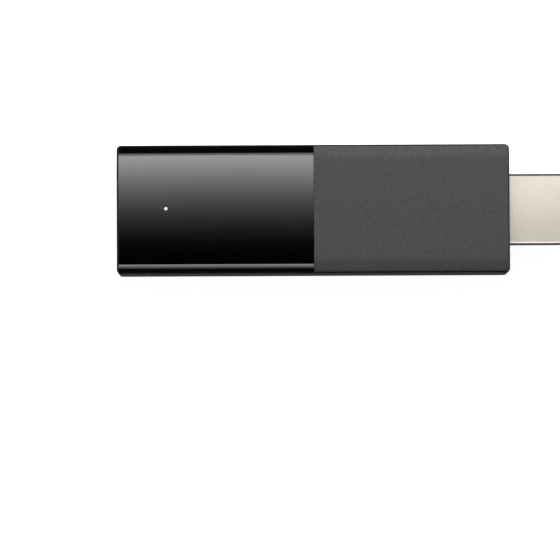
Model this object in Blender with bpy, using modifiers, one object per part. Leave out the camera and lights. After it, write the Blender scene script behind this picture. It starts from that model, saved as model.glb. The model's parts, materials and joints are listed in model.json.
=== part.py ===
"""Streaming media player: a television stick with a video plug at its nose and a power socket in its tail.

The stick lies on its flat back. X runs from the tail to the nose, Y across the stick, and Z up to the front
face. The origin is on the back, under the middle of the whole stick, plug included. Sizes are in metres.
"""

import math

import bmesh
import bpy
from mathutils import Matrix, Vector

MM = 0.001

# Casing: a deep rear cover, closed by two front covers that meet at a seam.
BODY_LENGTH = 76.9 * MM
BODY_WIDTH = 25.3 * MM
BODY_THICKNESS = 12.7 * MM
REAR_WALL = 1.3 * MM
REAR_DRAFT = 0.25 * MM  # how much the rear cover narrows towards its back, on each side
REAR_CORNER_RADIUS = 0.8 * MM
FACE_WALL = 1.2 * MM
BEVEL_RUN = 1.48 * MM
BEVEL_DROP = 1.2 * MM
COVER_EDGE = 0.6 * MM  # the upright edge under the front covers' bevel
COVER_INSET = 0.35 * MM  # how far the front covers stand inside the rear cover's outer edge
PARTING_GAP = 0.3 * MM
COVER_FIT = 0.3 * MM
SEAM_FROM_TAIL = 38.6 * MM
SEAM_GAP = 0.3 * MM
SEAM_TONGUE = 1.5 * MM  # how far the matte cover reaches under the gloss one
SEAM_TONGUE_WALL = 0.7 * MM
SKIRT_WALL = 0.8 * MM
SKIRT_DEPTH = 2.3 * MM
BARB_LENGTH = 4.0 * MM
BARB_HEIGHT = 0.8 * MM
BARB_REACH = 0.6 * MM
BARB_ABOVE_SKIRT_FOOT = 0.4 * MM

# Status light
LIGHT_FROM_TAIL = 9.7 * MM
LIGHT_DIAMETER = 0.7 * MM
LIGHT_PIPE_DIAMETER = 1.5 * MM
LIGHT_FLANGE_DIAMETER = 2.6 * MM
LIGHT_FLANGE_WALL = 0.5 * MM
LIGHT_PIPE_FIT = 0.15 * MM
LED_SIZE = (1.6 * MM, 0.8 * MM, 0.7 * MM)

# Main board
BOARD_FROM_FACE = 6.35 * MM  # from the front face back to the middle of the board, the plug and the socket
BOARD_WALL = 1.0 * MM
BOARD_TO_SIDE_WALL = 0.95 * MM
BOARD_TO_TAIL_WALL = 0.5 * MM
SOLDER_GAP = 0.1 * MM  # the solder under a part on the board
POST_RADIUS = 1.4 * MM
POST_PIN_RADIUS = 0.7 * MM
POST_PIN_FIT = 0.2 * MM
POST_PIN_RISE = 0.6 * MM
POST_FROM_EDGE = 2.0 * MM
TAIL_POSTS_FROM_TAIL = 8.0 * MM
NOSE_POSTS_FROM_NOSE = 11.0 * MM

# Video plug, the standard type A size
PLUG_WIDTH = 13.9 * MM
PLUG_HEIGHT = 4.45 * MM
PLUG_EXPOSED = 12.0 * MM
PLUG_INSIDE = 4.0 * MM
PLUG_CORNER_RUN = 1.5 * MM
PLUG_CORNER_DROP = 1.7 * MM
PLUG_CORNER_RADIUS = 0.6 * MM
PLUG_SHEET = 0.3 * MM
PLUG_FIT = 0.2 * MM
INSULATOR_RECESS = 0.9 * MM
INSULATOR_FIT = 0.1 * MM
TONGUE_SLOT_WIDTH = 11.2 * MM
TONGUE_SLOT_HEIGHT = 1.95 * MM
TONGUE_SLOT_DEPTH = 9.0 * MM
CONTACT_PITCH = 1.0 * MM
CONTACT_WIDTH = 0.34 * MM
CONTACT_SHEET = 0.2 * MM
CONTACT_GROOVE_WIDTH = 0.54 * MM
CONTACT_GROOVE_DEPTH = 0.45 * MM
CONTACT_TAIL = 2.4 * MM
CONTACT_TIP_RECESS = 0.5 * MM
CONTACT_SPRING_RISE = 0.8 * MM  # along the plug, from the tip to the dip
CONTACT_SPRING_FLAT = 0.6 * MM
CONTACT_SPRING_FALL = 1.5 * MM
UPPER_CONTACTS = 10
LOWER_CONTACTS = 9
LATCH_WINDOW = (2.4 * MM, 1.5 * MM)
LATCH_WINDOW_FROM_TIP = 5.2 * MM
LATCH_WINDOW_APART = 7.6 * MM

# Power socket, the standard five-contact micro size
SOCKET_WIDTH = 7.5 * MM
SOCKET_HEIGHT = 2.5 * MM
SOCKET_LENGTH = 5.4 * MM
SOCKET_CORNER_RUN = 1.0 * MM
SOCKET_CORNER_DROP = 0.9 * MM
SOCKET_CORNER_RADIUS = 0.35 * MM
SOCKET_SHEET = 0.25 * MM
SOCKET_RECESS = 0.4 * MM
SOCKET_FIT = 0.3 * MM
SOCKET_BASE = 1.6 * MM
SOCKET_TONGUE_WIDTH = 3.7 * MM
SOCKET_TONGUE_WALL = 0.6 * MM
SOCKET_TONGUE_RISE = 0.25 * MM
SOCKET_TONGUE_RECESS = 0.9 * MM
SOCKET_CONTACTS = 5
SOCKET_CONTACT_PITCH = 0.65 * MM
SOCKET_CONTACT_WIDTH = 0.25 * MM
SOCKET_CONTACT_SHEET = 0.12 * MM
SOCKET_CONTACT_FIT = 0.1 * MM
SOCKET_CONTACT_TAIL = 1.6 * MM

# Electronics on the front of the board; a size in brackets is (length, width, height)
PROCESSOR_SIZE = (12.0 * MM, 12.0 * MM, 1.0 * MM)
CHIPS_TO_SHIELD_END = 1.0 * MM
MEMORY_LENGTH = 9.0 * MM
MEMORY_HEIGHT = 0.9 * MM
MEMORY_APART = 1.0 * MM
MEMORY_TO_SHIELD_SIDE = 0.6 * MM
SHIELD_LENGTH = 27.0 * MM
SHIELD_HEIGHT = 1.6 * MM
SHIELD_TO_SKIRT = 1.45 * MM
SHIELD_SHEET = 0.2 * MM
SHIELD_LID_DEPTH = 1.1 * MM
THERMAL_PAD_SIZE = (11.0 * MM, 11.0 * MM)
SPREADER_LENGTH = 34.0 * MM
SPREADER_WALL = 0.6 * MM
SPREADER_TO_SKIRT = 1.05 * MM
SPREADER_PAD_WALL = 0.4 * MM
SPREADER_CORNER_RADIUS = 1.5 * MM
SHIELD_FROM_NOSE = 28.0 * MM  # the shield's middle
CHIP_EDGE_RADIUS = 0.12 * MM
ANTENNA_LENGTH = 14.0 * MM
ANTENNA_HEIGHT = 3.0 * MM
ANTENNA_SHEET = 0.2 * MM
ANTENNA_BAND = 1.0 * MM
ANTENNA_LEG = 0.8 * MM
ANTENNA_LEG_APART = 2.2 * MM
ANTENNA_TO_SKIRT = 0.55 * MM
ANTENNA_FROM_TAIL = 24.0 * MM

# Electronics on the back of the board
RADIO_SIZE = (12.0 * MM, 12.0 * MM, 0.6 * MM)
RADIO_CAN_SIZE = (10.8 * MM, 10.8 * MM, 1.4 * MM)
STORAGE_SIZE = (13.0 * MM, 11.5 * MM, 1.0 * MM)
POWER_CHIP_SIZE = (5.0 * MM, 5.0 * MM, 0.8 * MM)
COIL_SIZE = (4.0 * MM, 4.0 * MM, 2.0 * MM)
COILS = 3
COIL_PITCH = 5.2 * MM
COIL_EDGE_RADIUS = 0.4 * MM
CRYSTAL_SIZE = (3.2 * MM, 2.5 * MM, 0.7 * MM)
CAPACITOR_SIZE = (3.2 * MM, 1.6 * MM, 1.6 * MM)
CAPACITORS = 4
CAPACITOR_PITCH = 3.0 * MM

CORNER_STEPS = 3
ROUND_STEPS = 24
HOLE_STEPS = 20
CUT_PAST = 1.0 * MM  # how far a cutter runs past the face that it opens
SHARP_ANGLE = math.radians(35)
WELD_DISTANCE = 0.001 * MM

# Places that follow from the sizes above
TAIL_X = -(BODY_LENGTH + PLUG_EXPOSED) / 2
NOSE_X = TAIL_X + BODY_LENGTH
SEAM_X = TAIL_X + SEAM_FROM_TAIL
COVER_FOOT_Z = BODY_THICKNESS - BEVEL_DROP - COVER_EDGE
RIM_Z = COVER_FOOT_Z - PARTING_GAP
FACE_INNER_Z = BODY_THICKNESS - FACE_WALL
SKIRT_FOOT_Z = COVER_FOOT_Z - SKIRT_DEPTH
SKIRT_HALF_WIDTH = BODY_WIDTH / 2 - REAR_WALL - COVER_FIT
SKIRT_INNER_HALF = SKIRT_HALF_WIDTH - SKIRT_WALL
BOARD_Z = BODY_THICKNESS - BOARD_FROM_FACE
BOARD_TOP_Z = BOARD_Z + BOARD_WALL / 2
BOARD_BACK_Z = BOARD_Z - BOARD_WALL / 2
BOARD_WIDTH = BODY_WIDTH - 2 * (REAR_WALL + BOARD_TO_SIDE_WALL)
PLUG_REAR_X = NOSE_X - PLUG_INSIDE
BOARD_TAIL_X = TAIL_X + REAR_WALL + BOARD_TO_TAIL_WALL
BOARD_NOSE_X = PLUG_REAR_X - COVER_FIT
LIGHT_X = TAIL_X + LIGHT_FROM_TAIL
SOCKET_MOUTH_X = TAIL_X + SOCKET_RECESS
SOCKET_REAR_X = SOCKET_MOUTH_X + SOCKET_LENGTH
SHIELD_X = NOSE_X - SHIELD_FROM_NOSE
SHIELD_HALF_WIDTH = SKIRT_INNER_HALF - SHIELD_TO_SKIRT
POST_Y = BOARD_WIDTH / 2 - POST_FROM_EDGE
POST_XS = (TAIL_X + TAIL_POSTS_FROM_TAIL, NOSE_X - NOSE_POSTS_FROM_NOSE)

# Turns a flat outline's own x, y and depth into the stick's Y, Z and X.
ACROSS_THE_STICK = (math.pi / 2, 0.0, math.pi / 2)
# Turns them into the stick's X, Z and -Y.
ALONG_THE_STICK = (math.pi / 2, 0.0, 0.0)


def fresh_scene():
    for item in list(bpy.data.objects):
        bpy.data.objects.remove(item, do_unlink=True)


def new_collection(name):
    collection = bpy.data.collections.new(name)
    bpy.context.scene.collection.children.link(collection)
    return collection


def new_material(name, colour, roughness, metallic=0.0):
    material = bpy.data.materials.new(name)
    material.use_nodes = True
    shader = material.node_tree.nodes["Principled BSDF"]
    shader.inputs["Base Color"].default_value = (*colour, 1.0)
    shader.inputs["Roughness"].default_value = roughness
    shader.inputs["Metallic"].default_value = metallic
    material.diffuse_color = (*colour, 1.0)
    return material


fresh_scene()
PARTS = new_collection("streaming_media_player")
CUTTERS = new_collection("cutters")

GLOSS_BLACK = new_material("gloss_black", (0.012, 0.012, 0.013), 0.06)
MATTE_GREY = new_material("matte_grey", (0.075, 0.075, 0.077), 0.55)
CLEAR_WHITE = new_material("clear_white", (0.92, 0.93, 0.95), 0.25)
PLUG_STEEL = new_material("plug_steel", (0.72, 0.69, 0.65), 0.35, 1.0)
GOLD = new_material("gold_plate", (0.83, 0.62, 0.28), 0.25, 1.0)
BLACK_RESIN = new_material("black_resin", (0.02, 0.02, 0.02), 0.5)
TIN = new_material("tinned_sheet", (0.68, 0.69, 0.7), 0.35, 1.0)
BOARD_GREEN = new_material("solder_mask", (0.01, 0.07, 0.035), 0.4)
CHIP_RESIN = new_material("chip_resin", (0.03, 0.03, 0.032), 0.6)
FERRITE = new_material("ferrite", (0.09, 0.09, 0.095), 0.7)
CERAMIC = new_material("ceramic", (0.42, 0.31, 0.2), 0.5)
PAD_GREY = new_material("thermal_pad", (0.35, 0.42, 0.5), 0.85)
ALUMINIUM = new_material("aluminium", (0.75, 0.76, 0.77), 0.4, 1.0)


def finish(item, material):
    """Puts a piece in the object's collection, with its material, shaded smooth between its sharp edges."""
    item.data.materials.clear()
    item.data.materials.append(material)
    item.data.shade_smooth()
    item.data.set_sharp_from_angle(angle=SHARP_ANGLE)
    PARTS.objects.link(item)
    return item


def as_cutter(item):
    CUTTERS.objects.link(item)
    item.hide_render = True
    item.display_type = "WIRE"
    return item


def mesh_object(name, form, place):
    """An object from a bmesh, standing at a place."""
    mesh = bpy.data.meshes.new(name)
    form.to_mesh(mesh)
    form.free()
    item = bpy.data.objects.new(name, mesh)
    item.location = place
    return item


def block(name, low, high):
    """A box between two corners, with its own origin in its middle."""
    low, high = Vector(low), Vector(high)
    form = bmesh.new()
    bmesh.ops.create_cube(form, size=1.0, matrix=Matrix.Diagonal((*(high - low), 1.0)))
    return mesh_object(name, form, (low + high) / 2)


def rod(name, radius, foot, height, steps=ROUND_STEPS):
    """An upright cylinder that stands on a foot point."""
    form = bmesh.new()
    bmesh.ops.create_cone(
        form, cap_ends=True, segments=steps, radius1=radius, radius2=radius, depth=height
    )
    return mesh_object(name, form, Vector(foot) + Vector((0.0, 0.0, height / 2)))


def prism(name, outline, depth, place, turn):
    """A flat outline given a depth, made as a filled 2D curve and then a welded mesh."""
    curve = bpy.data.curves.new(name + "_outline", "CURVE")
    curve.dimensions = "2D"
    curve.fill_mode = "BOTH"
    curve.extrude = depth / 2
    spline = curve.splines.new("POLY")
    spline.points.add(len(outline) - 1)
    for point, (across, up) in zip(spline.points, outline):
        point.co = (across, up, 0.0, 1.0)
    spline.use_cyclic_u = True
    guide = bpy.data.objects.new(name + "_outline", curve)
    bpy.context.scene.collection.objects.link(guide)
    evaluated = guide.evaluated_get(bpy.context.evaluated_depsgraph_get())
    mesh = bpy.data.meshes.new_from_object(evaluated)
    bpy.data.objects.remove(guide, do_unlink=True)
    form = bmesh.new()
    form.from_mesh(mesh)
    bmesh.ops.remove_doubles(form, verts=form.verts, dist=WELD_DISTANCE)
    bmesh.ops.recalc_face_normals(form, faces=form.faces)
    form.to_mesh(mesh)
    form.free()
    mesh.name = name
    item = bpy.data.objects.new(name, mesh)
    item.location = place
    item.rotation_euler = turn
    return item


def rounded(corners, radius, steps=CORNER_STEPS):
    """An outline whose corners are arcs of one radius."""
    outline = []
    for index, corner in enumerate(corners):
        here = Vector(corner)
        before = (Vector(corners[index - 1]) - here).normalized()
        after = (Vector(corners[(index + 1) % len(corners)]) - here).normalized()
        half_angle = before.angle(after) / 2
        centre = here + (before + after).normalized() * radius / math.sin(half_angle)
        start = here + before * radius / math.tan(half_angle) - centre
        end = here + after * radius / math.tan(half_angle) - centre
        sweep = start.angle_signed(end)
        for step in range(steps + 1):
            outline.append(centre + Matrix.Rotation(-sweep * step / steps, 2) @ start)
    return outline


def connector_outline(width, height, corner_run, corner_drop, radius):
    """A connector's outline, with its two lower corners cut off, centred on its width and height."""
    half, top, foot = width / 2, height / 2, -height / 2
    corners = [
        (-half, top),
        (half, top),
        (half, foot + corner_drop),
        (half - corner_run, foot),
        (corner_run - half, foot),
        (-half, foot + corner_drop),
    ]
    return rounded(corners[::-1], radius)


def strip_outline(path, thickness):
    """The outline of a bent strip of one thickness that follows a path."""
    points = [Vector(point) for point in path]
    headings = [(b - a).normalized() for a, b in zip(points, points[1:])]
    left, right = [], []
    for index, point in enumerate(points):
        before = headings[max(index - 1, 0)]
        after = headings[min(index, len(headings) - 1)]
        normal = Vector((-before.y - after.y, before.x + after.x)).normalized()
        reach = thickness / 2 / normal.dot(Vector((-after.y, after.x)))
        left.append(point + normal * reach)
        right.append(point - normal * reach)
    return right + left[::-1]


def boolean(item, tool, operation):
    modifier = item.modifiers.new(tool.name, "BOOLEAN")
    modifier.operation = operation
    modifier.object = as_cutter(tool)
    return item


def cut(item, tool):
    return boolean(item, tool, "DIFFERENCE")


def join(item, tool):
    return boolean(item, tool, "UNION")


def soften(item, radius, steps=1):
    """Rounds every edge of a piece."""
    modifier = item.modifiers.new("edges", "BEVEL")
    modifier.width = radius
    modifier.segments = steps
    modifier.limit_method = "ANGLE"
    return item


def body_section():
    """The front covers' section: a flat face, a bevel down each long side and a short upright edge."""
    half = BODY_WIDTH / 2 - COVER_INSET
    right = [(half, COVER_FOOT_Z), (half, COVER_FOOT_Z + COVER_EDGE), (half - BEVEL_RUN, BODY_THICKNESS)]
    left = [(-across, up) for across, up in reversed(right)]
    return right + left


def barb_places(start_x, end_x):
    """The middles of two barbs, each a quarter of the way in from one end of a skirt."""
    quarter = (end_x - start_x) / 4
    return (start_x + quarter, end_x - quarter)


def skirt_span(cover_start_x, cover_end_x):
    """Where a front cover's skirt runs: clear of the rear cover's end walls and of the seam."""
    inner_tail_x = TAIL_X + REAR_WALL + COVER_FIT
    inner_nose_x = NOSE_X - REAR_WALL - COVER_FIT
    return max(cover_start_x, inner_tail_x), min(cover_end_x, inner_nose_x)


GLOSS_SPAN = (TAIL_X + COVER_INSET, SEAM_X - SEAM_GAP / 2)
MATTE_SPAN = (SEAM_X + SEAM_GAP / 2, NOSE_X - COVER_INSET)


def front_cover(name, span):
    """A front cover without its openings: the bevelled face, the skirt behind it and the skirt's barbs."""
    start_x, end_x = span
    length = end_x - start_x
    cover = prism(name, body_section(), length, ((start_x + end_x) / 2, 0.0, 0.0), ACROSS_THE_STICK)
    skirt_start_x, skirt_end_x = skirt_span(start_x, end_x)
    at_tail = skirt_start_x > start_x
    skirt_low = (skirt_start_x, -SKIRT_HALF_WIDTH, SKIRT_FOOT_Z)
    skirt_high = (skirt_end_x, SKIRT_HALF_WIDTH, FACE_INNER_Z)
    join(cover, block(name + "_skirt", skirt_low, skirt_high))
    hollow_start_x = skirt_start_x + SKIRT_WALL if at_tail else start_x - CUT_PAST
    hollow_end_x = end_x + CUT_PAST if at_tail else skirt_end_x - SKIRT_WALL
    hollow_low = (hollow_start_x, -SKIRT_INNER_HALF, SKIRT_FOOT_Z - CUT_PAST)
    hollow_high = (hollow_end_x, SKIRT_INNER_HALF, FACE_INNER_Z)
    cut(cover, block(name + "_hollow", hollow_low, hollow_high))
    for index, middle_x in enumerate(barb_places(skirt_start_x, skirt_end_x)):
        for side in (-1, 1):
            inner_y = side * (SKIRT_HALF_WIDTH - SKIRT_WALL / 2)
            outer_y = side * (SKIRT_HALF_WIDTH + BARB_REACH)
            foot_z = SKIRT_FOOT_Z + BARB_ABOVE_SKIRT_FOOT
            low = (middle_x - BARB_LENGTH / 2, min(inner_y, outer_y), foot_z)
            high = (middle_x + BARB_LENGTH / 2, max(inner_y, outer_y), foot_z + BARB_HEIGHT)
            join(cover, block(f"{name}_barb_{index}_{side}", low, high))
    return cover


def front_cover_gloss():
    cover = front_cover("front_cover_gloss", GLOSS_SPAN)
    hole_radius = LIGHT_DIAMETER / 2 + LIGHT_PIPE_FIT
    foot = (LIGHT_X, 0.0, FACE_INNER_Z - CUT_PAST)
    cut(cover, rod("light_hole", hole_radius, foot, FACE_WALL + 2 * CUT_PAST, HOLE_STEPS))
    return finish(cover, GLOSS_BLACK)


def front_cover_matte():
    cover = front_cover("front_cover_matte", MATTE_SPAN)
    tongue_half = SKIRT_INNER_HALF - COVER_FIT
    tongue_top_z = FACE_INNER_Z - COVER_FIT
    start_x = MATTE_SPAN[0]
    root_x = start_x + SEAM_TONGUE
    root_low = (start_x, -tongue_half, tongue_top_z - SEAM_TONGUE_WALL)
    join(cover, block("tongue_root", root_low, (root_x, tongue_half, FACE_INNER_Z + FACE_WALL / 2)))
    tip_low = (start_x - SEAM_GAP - SEAM_TONGUE, -tongue_half, tongue_top_z - SEAM_TONGUE_WALL)
    join(cover, block("tongue_tip", tip_low, (root_x, tongue_half, tongue_top_z)))
    return finish(cover, MATTE_GREY)


def rear_block():
    """The rear cover's outside: a box that narrows to its back, rounded except at its rim."""
    half = BODY_WIDTH / 2
    form = bmesh.new()
    size = Matrix.Diagonal((BODY_LENGTH, BODY_WIDTH, RIM_Z, 1.0))
    bmesh.ops.create_cube(form, size=1.0, matrix=size)
    for vertex in form.verts:
        if vertex.co.z < 0.0:
            vertex.co.y *= (half - REAR_DRAFT) / half
    below_rim = [edge for edge in form.edges if min(v.co.z for v in edge.verts) < 0.0]
    bmesh.ops.bevel(
        form,
        geom=below_rim,
        offset=REAR_CORNER_RADIUS,
        segments=CORNER_STEPS,
        profile=0.5,
        affect="EDGES",
    )
    middle_x = (TAIL_X + NOSE_X) / 2
    return mesh_object("rear_cover", form, (middle_x, 0.0, RIM_Z / 2))


def board_posts(cover):
    """Four posts that the board rests on; two of them, on a diagonal, have a pin through the board."""
    post_height = BOARD_BACK_Z - SOLDER_GAP - REAR_WALL / 2
    for index, post_x in enumerate(POST_XS):
        for side in (-1, 1):
            foot = (post_x, side * POST_Y, REAR_WALL / 2)
            join(cover, rod(f"post_{index}_{side}", POST_RADIUS, foot, post_height, HOLE_STEPS))
    for index, (pin_x, pin_y) in enumerate(pin_places()):
        foot = (pin_x, pin_y, REAR_WALL)
        pin_height = BOARD_TOP_Z + POST_PIN_RISE - REAR_WALL
        join(cover, rod(f"pin_{index}", POST_PIN_RADIUS, foot, pin_height, HOLE_STEPS))


def pin_places():
    return ((POST_XS[0], POST_Y), (POST_XS[1], -POST_Y))


def rear_cover():
    cover = rear_block()
    half = BODY_WIDTH / 2 - REAR_WALL
    inner_low = (TAIL_X + REAR_WALL, -half, REAR_WALL)
    inner_high = (NOSE_X - REAR_WALL, half, RIM_Z + CUT_PAST)
    cut(cover, block("rear_hollow", inner_low, inner_high))
    for span_name, span in (("gloss", GLOSS_SPAN), ("matte", MATTE_SPAN)):
        for index, middle_x in enumerate(barb_places(*skirt_span(*span))):
            for side in (-1, 1):
                cut(cover, barb_groove(f"{span_name}_groove_{index}_{side}", middle_x, side))
    board_posts(cover)
    outline = connector_outline(
        PLUG_WIDTH + 2 * PLUG_FIT,
        PLUG_HEIGHT + 2 * PLUG_FIT,
        PLUG_CORNER_RUN,
        PLUG_CORNER_DROP,
        PLUG_CORNER_RADIUS,
    )
    slot_depth = REAR_WALL + 2 * CUT_PAST
    place = (NOSE_X - REAR_WALL / 2, 0.0, BOARD_Z)
    cut(cover, prism("plug_slot", outline, slot_depth, place, ACROSS_THE_STICK))
    outline = connector_outline(
        SOCKET_WIDTH + 2 * SOCKET_FIT,
        SOCKET_HEIGHT + 2 * SOCKET_FIT,
        SOCKET_CORNER_RUN,
        SOCKET_CORNER_DROP,
        SOCKET_CORNER_RADIUS + SOCKET_FIT,
    )
    place = (TAIL_X + REAR_WALL / 2, 0.0, BOARD_Z)
    cut(cover, prism("socket_slot", outline, slot_depth, place, ACROSS_THE_STICK))
    return finish(cover, MATTE_GREY)


def barb_groove(name, middle_x, side):
    """The groove inside the rear cover's wall that one barb snaps into."""
    wall_y = BODY_WIDTH / 2 - REAR_WALL
    deep_y = SKIRT_HALF_WIDTH + BARB_REACH + COVER_FIT
    near_y = wall_y - CUT_PAST
    foot_z = SKIRT_FOOT_Z + BARB_ABOVE_SKIRT_FOOT - COVER_FIT
    length = BARB_LENGTH + 2 * COVER_FIT
    low_y, high_y = sorted((side * near_y, side * deep_y))
    low = (middle_x - length / 2, low_y, foot_z)
    high = (middle_x + length / 2, high_y, foot_z + BARB_HEIGHT + 2 * COVER_FIT)
    return block(name, low, high)


def light_pipe():
    """A stepped clear pin, turned about its axis, that carries the light from the board to the face."""
    top_z = BODY_THICKNESS
    flange_top_z = FACE_INNER_Z - LIGHT_PIPE_FIT
    flange_foot_z = flange_top_z - LIGHT_FLANGE_WALL
    foot_z = BOARD_TOP_Z + SOLDER_GAP + LED_SIZE[2] + COVER_FIT
    profile = [
        (0.0, top_z),
        (LIGHT_DIAMETER / 2, top_z),
        (LIGHT_DIAMETER / 2, flange_top_z),
        (LIGHT_FLANGE_DIAMETER / 2, flange_top_z),
        (LIGHT_FLANGE_DIAMETER / 2, flange_foot_z),
        (LIGHT_PIPE_DIAMETER / 2, flange_foot_z),
        (LIGHT_PIPE_DIAMETER / 2, foot_z),
        (0.0, foot_z),
    ]
    form = bmesh.new()
    points = [form.verts.new((across, 0.0, up - foot_z)) for across, up in profile]
    for start, end in zip(points, points[1:]):
        form.edges.new((start, end))
    pipe = mesh_object("light_pipe", form, (LIGHT_X, 0.0, foot_z))
    turn = pipe.modifiers.new("turn", "SCREW")
    turn.steps = ROUND_STEPS
    turn.render_steps = ROUND_STEPS
    turn.use_merge_vertices = True
    turn.merge_threshold = WELD_DISTANCE
    return finish(pipe, CLEAR_WHITE)


def main_board():
    low = (BOARD_TAIL_X, -BOARD_WIDTH / 2, BOARD_BACK_Z)
    high = (BOARD_NOSE_X, BOARD_WIDTH / 2, BOARD_TOP_Z)
    board = block("main_board", low, high)
    notch_half = SOCKET_WIDTH / 2 + SOCKET_FIT
    notch_low = (BOARD_TAIL_X - CUT_PAST, -notch_half, BOARD_BACK_Z - CUT_PAST)
    notch_high = (SOCKET_REAR_X + SOCKET_FIT, notch_half, BOARD_TOP_Z + CUT_PAST)
    cut(board, block("socket_notch", notch_low, notch_high))
    for index, (pin_x, pin_y) in enumerate(pin_places()):
        foot = (pin_x, pin_y, BOARD_BACK_Z - CUT_PAST)
        height = BOARD_WALL + 2 * CUT_PAST
        cut(board, rod(f"pin_hole_{index}", POST_PIN_RADIUS + POST_PIN_FIT, foot, height, HOLE_STEPS))
    return finish(board, BOARD_GREEN)


def on_front(name, size, middle_x, middle_y, material, radius=CHIP_EDGE_RADIUS):
    """A block-shaped part soldered to the front of the board."""
    length, width, height = size
    foot_z = BOARD_TOP_Z + SOLDER_GAP
    low = (middle_x - length / 2, middle_y - width / 2, foot_z)
    high = (middle_x + length / 2, middle_y + width / 2, foot_z + height)
    return finish(soften(block(name, low, high), radius), material)


def on_back(name, size, middle_x, middle_y, material, radius=CHIP_EDGE_RADIUS):
    """A block-shaped part soldered to the back of the board."""
    length, width, height = size
    top_z = BOARD_BACK_Z - SOLDER_GAP
    low = (middle_x - length / 2, middle_y - width / 2, top_z - height)
    high = (middle_x + length / 2, middle_y + width / 2, top_z)
    return finish(soften(block(name, low, high), radius), material)


def shell_tube(name, outline, start_x, end_x, sheet):
    """A sheet-metal shell: an open tube with the given outline, thickened inwards."""
    form = bmesh.new()
    ring = [form.verts.new((start_x - end_x, across, up)) for across, up in outline]
    loop = [form.edges.new((a, b)) for a, b in zip(ring, ring[1:] + ring[:1])]
    far = bmesh.ops.extrude_edge_only(form, edges=loop)
    far_ring = [part for part in far["geom"] if isinstance(part, bmesh.types.BMVert)]
    bmesh.ops.translate(form, verts=far_ring, vec=(end_x - start_x, 0.0, 0.0))
    bmesh.ops.recalc_face_normals(form, faces=form.faces)
    outward = sum(face.calc_center_median().yz.dot(face.normal.yz) for face in form.faces)
    if outward < 0.0:
        bmesh.ops.reverse_faces(form, faces=form.faces)
    tube = mesh_object(name, form, (end_x, 0.0, BOARD_Z))
    wall = tube.modifiers.new("sheet", "SOLIDIFY")
    wall.thickness = sheet
    wall.offset = -1.0
    wall.use_even_offset = True
    return tube


def video_plug_shell():
    outline = connector_outline(
        PLUG_WIDTH, PLUG_HEIGHT, PLUG_CORNER_RUN, PLUG_CORNER_DROP, PLUG_CORNER_RADIUS
    )
    tip_x = NOSE_X + PLUG_EXPOSED
    shell = shell_tube("video_plug_shell", outline, PLUG_REAR_X, tip_x, PLUG_SHEET)
    length, width = LATCH_WINDOW
    for side in (-1, 1):
        middle_x = tip_x - LATCH_WINDOW_FROM_TIP
        middle_y = side * LATCH_WINDOW_APART / 2
        foot_z = BOARD_Z - PLUG_HEIGHT / 2
        low = (middle_x - length / 2, middle_y - width / 2, foot_z - CUT_PAST)
        high = (middle_x + length / 2, middle_y + width / 2, foot_z + 2 * PLUG_SHEET)
        cut(shell, block(f"latch_window_{side}", low, high))
    return finish(shell, PLUG_STEEL)


def row_places(count, pitch):
    """The Y of each piece in a row that is centred on the stick."""
    return [(index - (count - 1) / 2) * pitch for index in range(count)]


INSULATOR_TIP_X = NOSE_X + PLUG_EXPOSED - INSULATOR_RECESS
CONTACT_LINE = TONGUE_SLOT_HEIGHT / 2 + CONTACT_GROOVE_DEPTH / 2  # a contact's height from the plug's middle


def video_plug_insulator():
    """The plug's moulded core, with a slot for the socket's tongue and a groove for each contact."""
    trim = 2 * (PLUG_SHEET + INSULATOR_FIT)
    outline = connector_outline(
        PLUG_WIDTH - trim,
        PLUG_HEIGHT - trim,
        PLUG_CORNER_RUN,
        PLUG_CORNER_DROP,
        PLUG_CORNER_RADIUS / 2,
    )
    length = INSULATOR_TIP_X - PLUG_REAR_X
    place = ((INSULATOR_TIP_X + PLUG_REAR_X) / 2, 0.0, BOARD_Z)
    core = prism("video_plug_insulator", outline, length, place, ACROSS_THE_STICK)
    half_width, half_height = TONGUE_SLOT_WIDTH / 2, TONGUE_SLOT_HEIGHT / 2
    slot_low = (INSULATOR_TIP_X - TONGUE_SLOT_DEPTH, -half_width, BOARD_Z - half_height)
    slot_high = (INSULATOR_TIP_X + CUT_PAST, half_width, BOARD_Z + half_height)
    cut(core, block("tongue_slot", slot_low, slot_high))
    for side, count in ((1, UPPER_CONTACTS), (-1, LOWER_CONTACTS)):
        for index, middle_y in enumerate(row_places(count, CONTACT_PITCH)):
            near = half_height - CONTACT_SHEET / 2
            far = half_height + CONTACT_GROOVE_DEPTH
            low_z, high_z = sorted((BOARD_Z + side * near, BOARD_Z + side * far))
            low = (PLUG_REAR_X - CUT_PAST, middle_y - CONTACT_GROOVE_WIDTH / 2, low_z)
            high = (INSULATOR_TIP_X + CUT_PAST, middle_y + CONTACT_GROOVE_WIDTH / 2, high_z)
            cut(core, block(f"groove_{side}_{index}", low, high))
    return finish(core, BLACK_RESIN)


def video_contact_path():
    """A contact seen from the side: a dipped spring end, a straight blade, and a tail down to the board."""
    tip = INSULATOR_TIP_X - PLUG_REAR_X
    dip = TONGUE_SLOT_HEIGHT / 2 - CONTACT_SHEET / 2
    tail_line = BOARD_WALL / 2 + SOLDER_GAP + CONTACT_SHEET / 2
    bend = CONTACT_LINE - tail_line
    start = tip - CONTACT_TIP_RECESS
    dip_start = start - CONTACT_SPRING_RISE
    dip_end = dip_start - CONTACT_SPRING_FLAT
    return [
        (start, CONTACT_LINE),
        (dip_start, dip),
        (dip_end, dip),
        (dip_end - CONTACT_SPRING_FALL, CONTACT_LINE),
        (-COVER_FIT - CONTACT_SHEET, CONTACT_LINE),
        (-COVER_FIT - CONTACT_SHEET - bend, tail_line),
        (-COVER_FIT - CONTACT_TAIL, tail_line),
    ]


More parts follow.
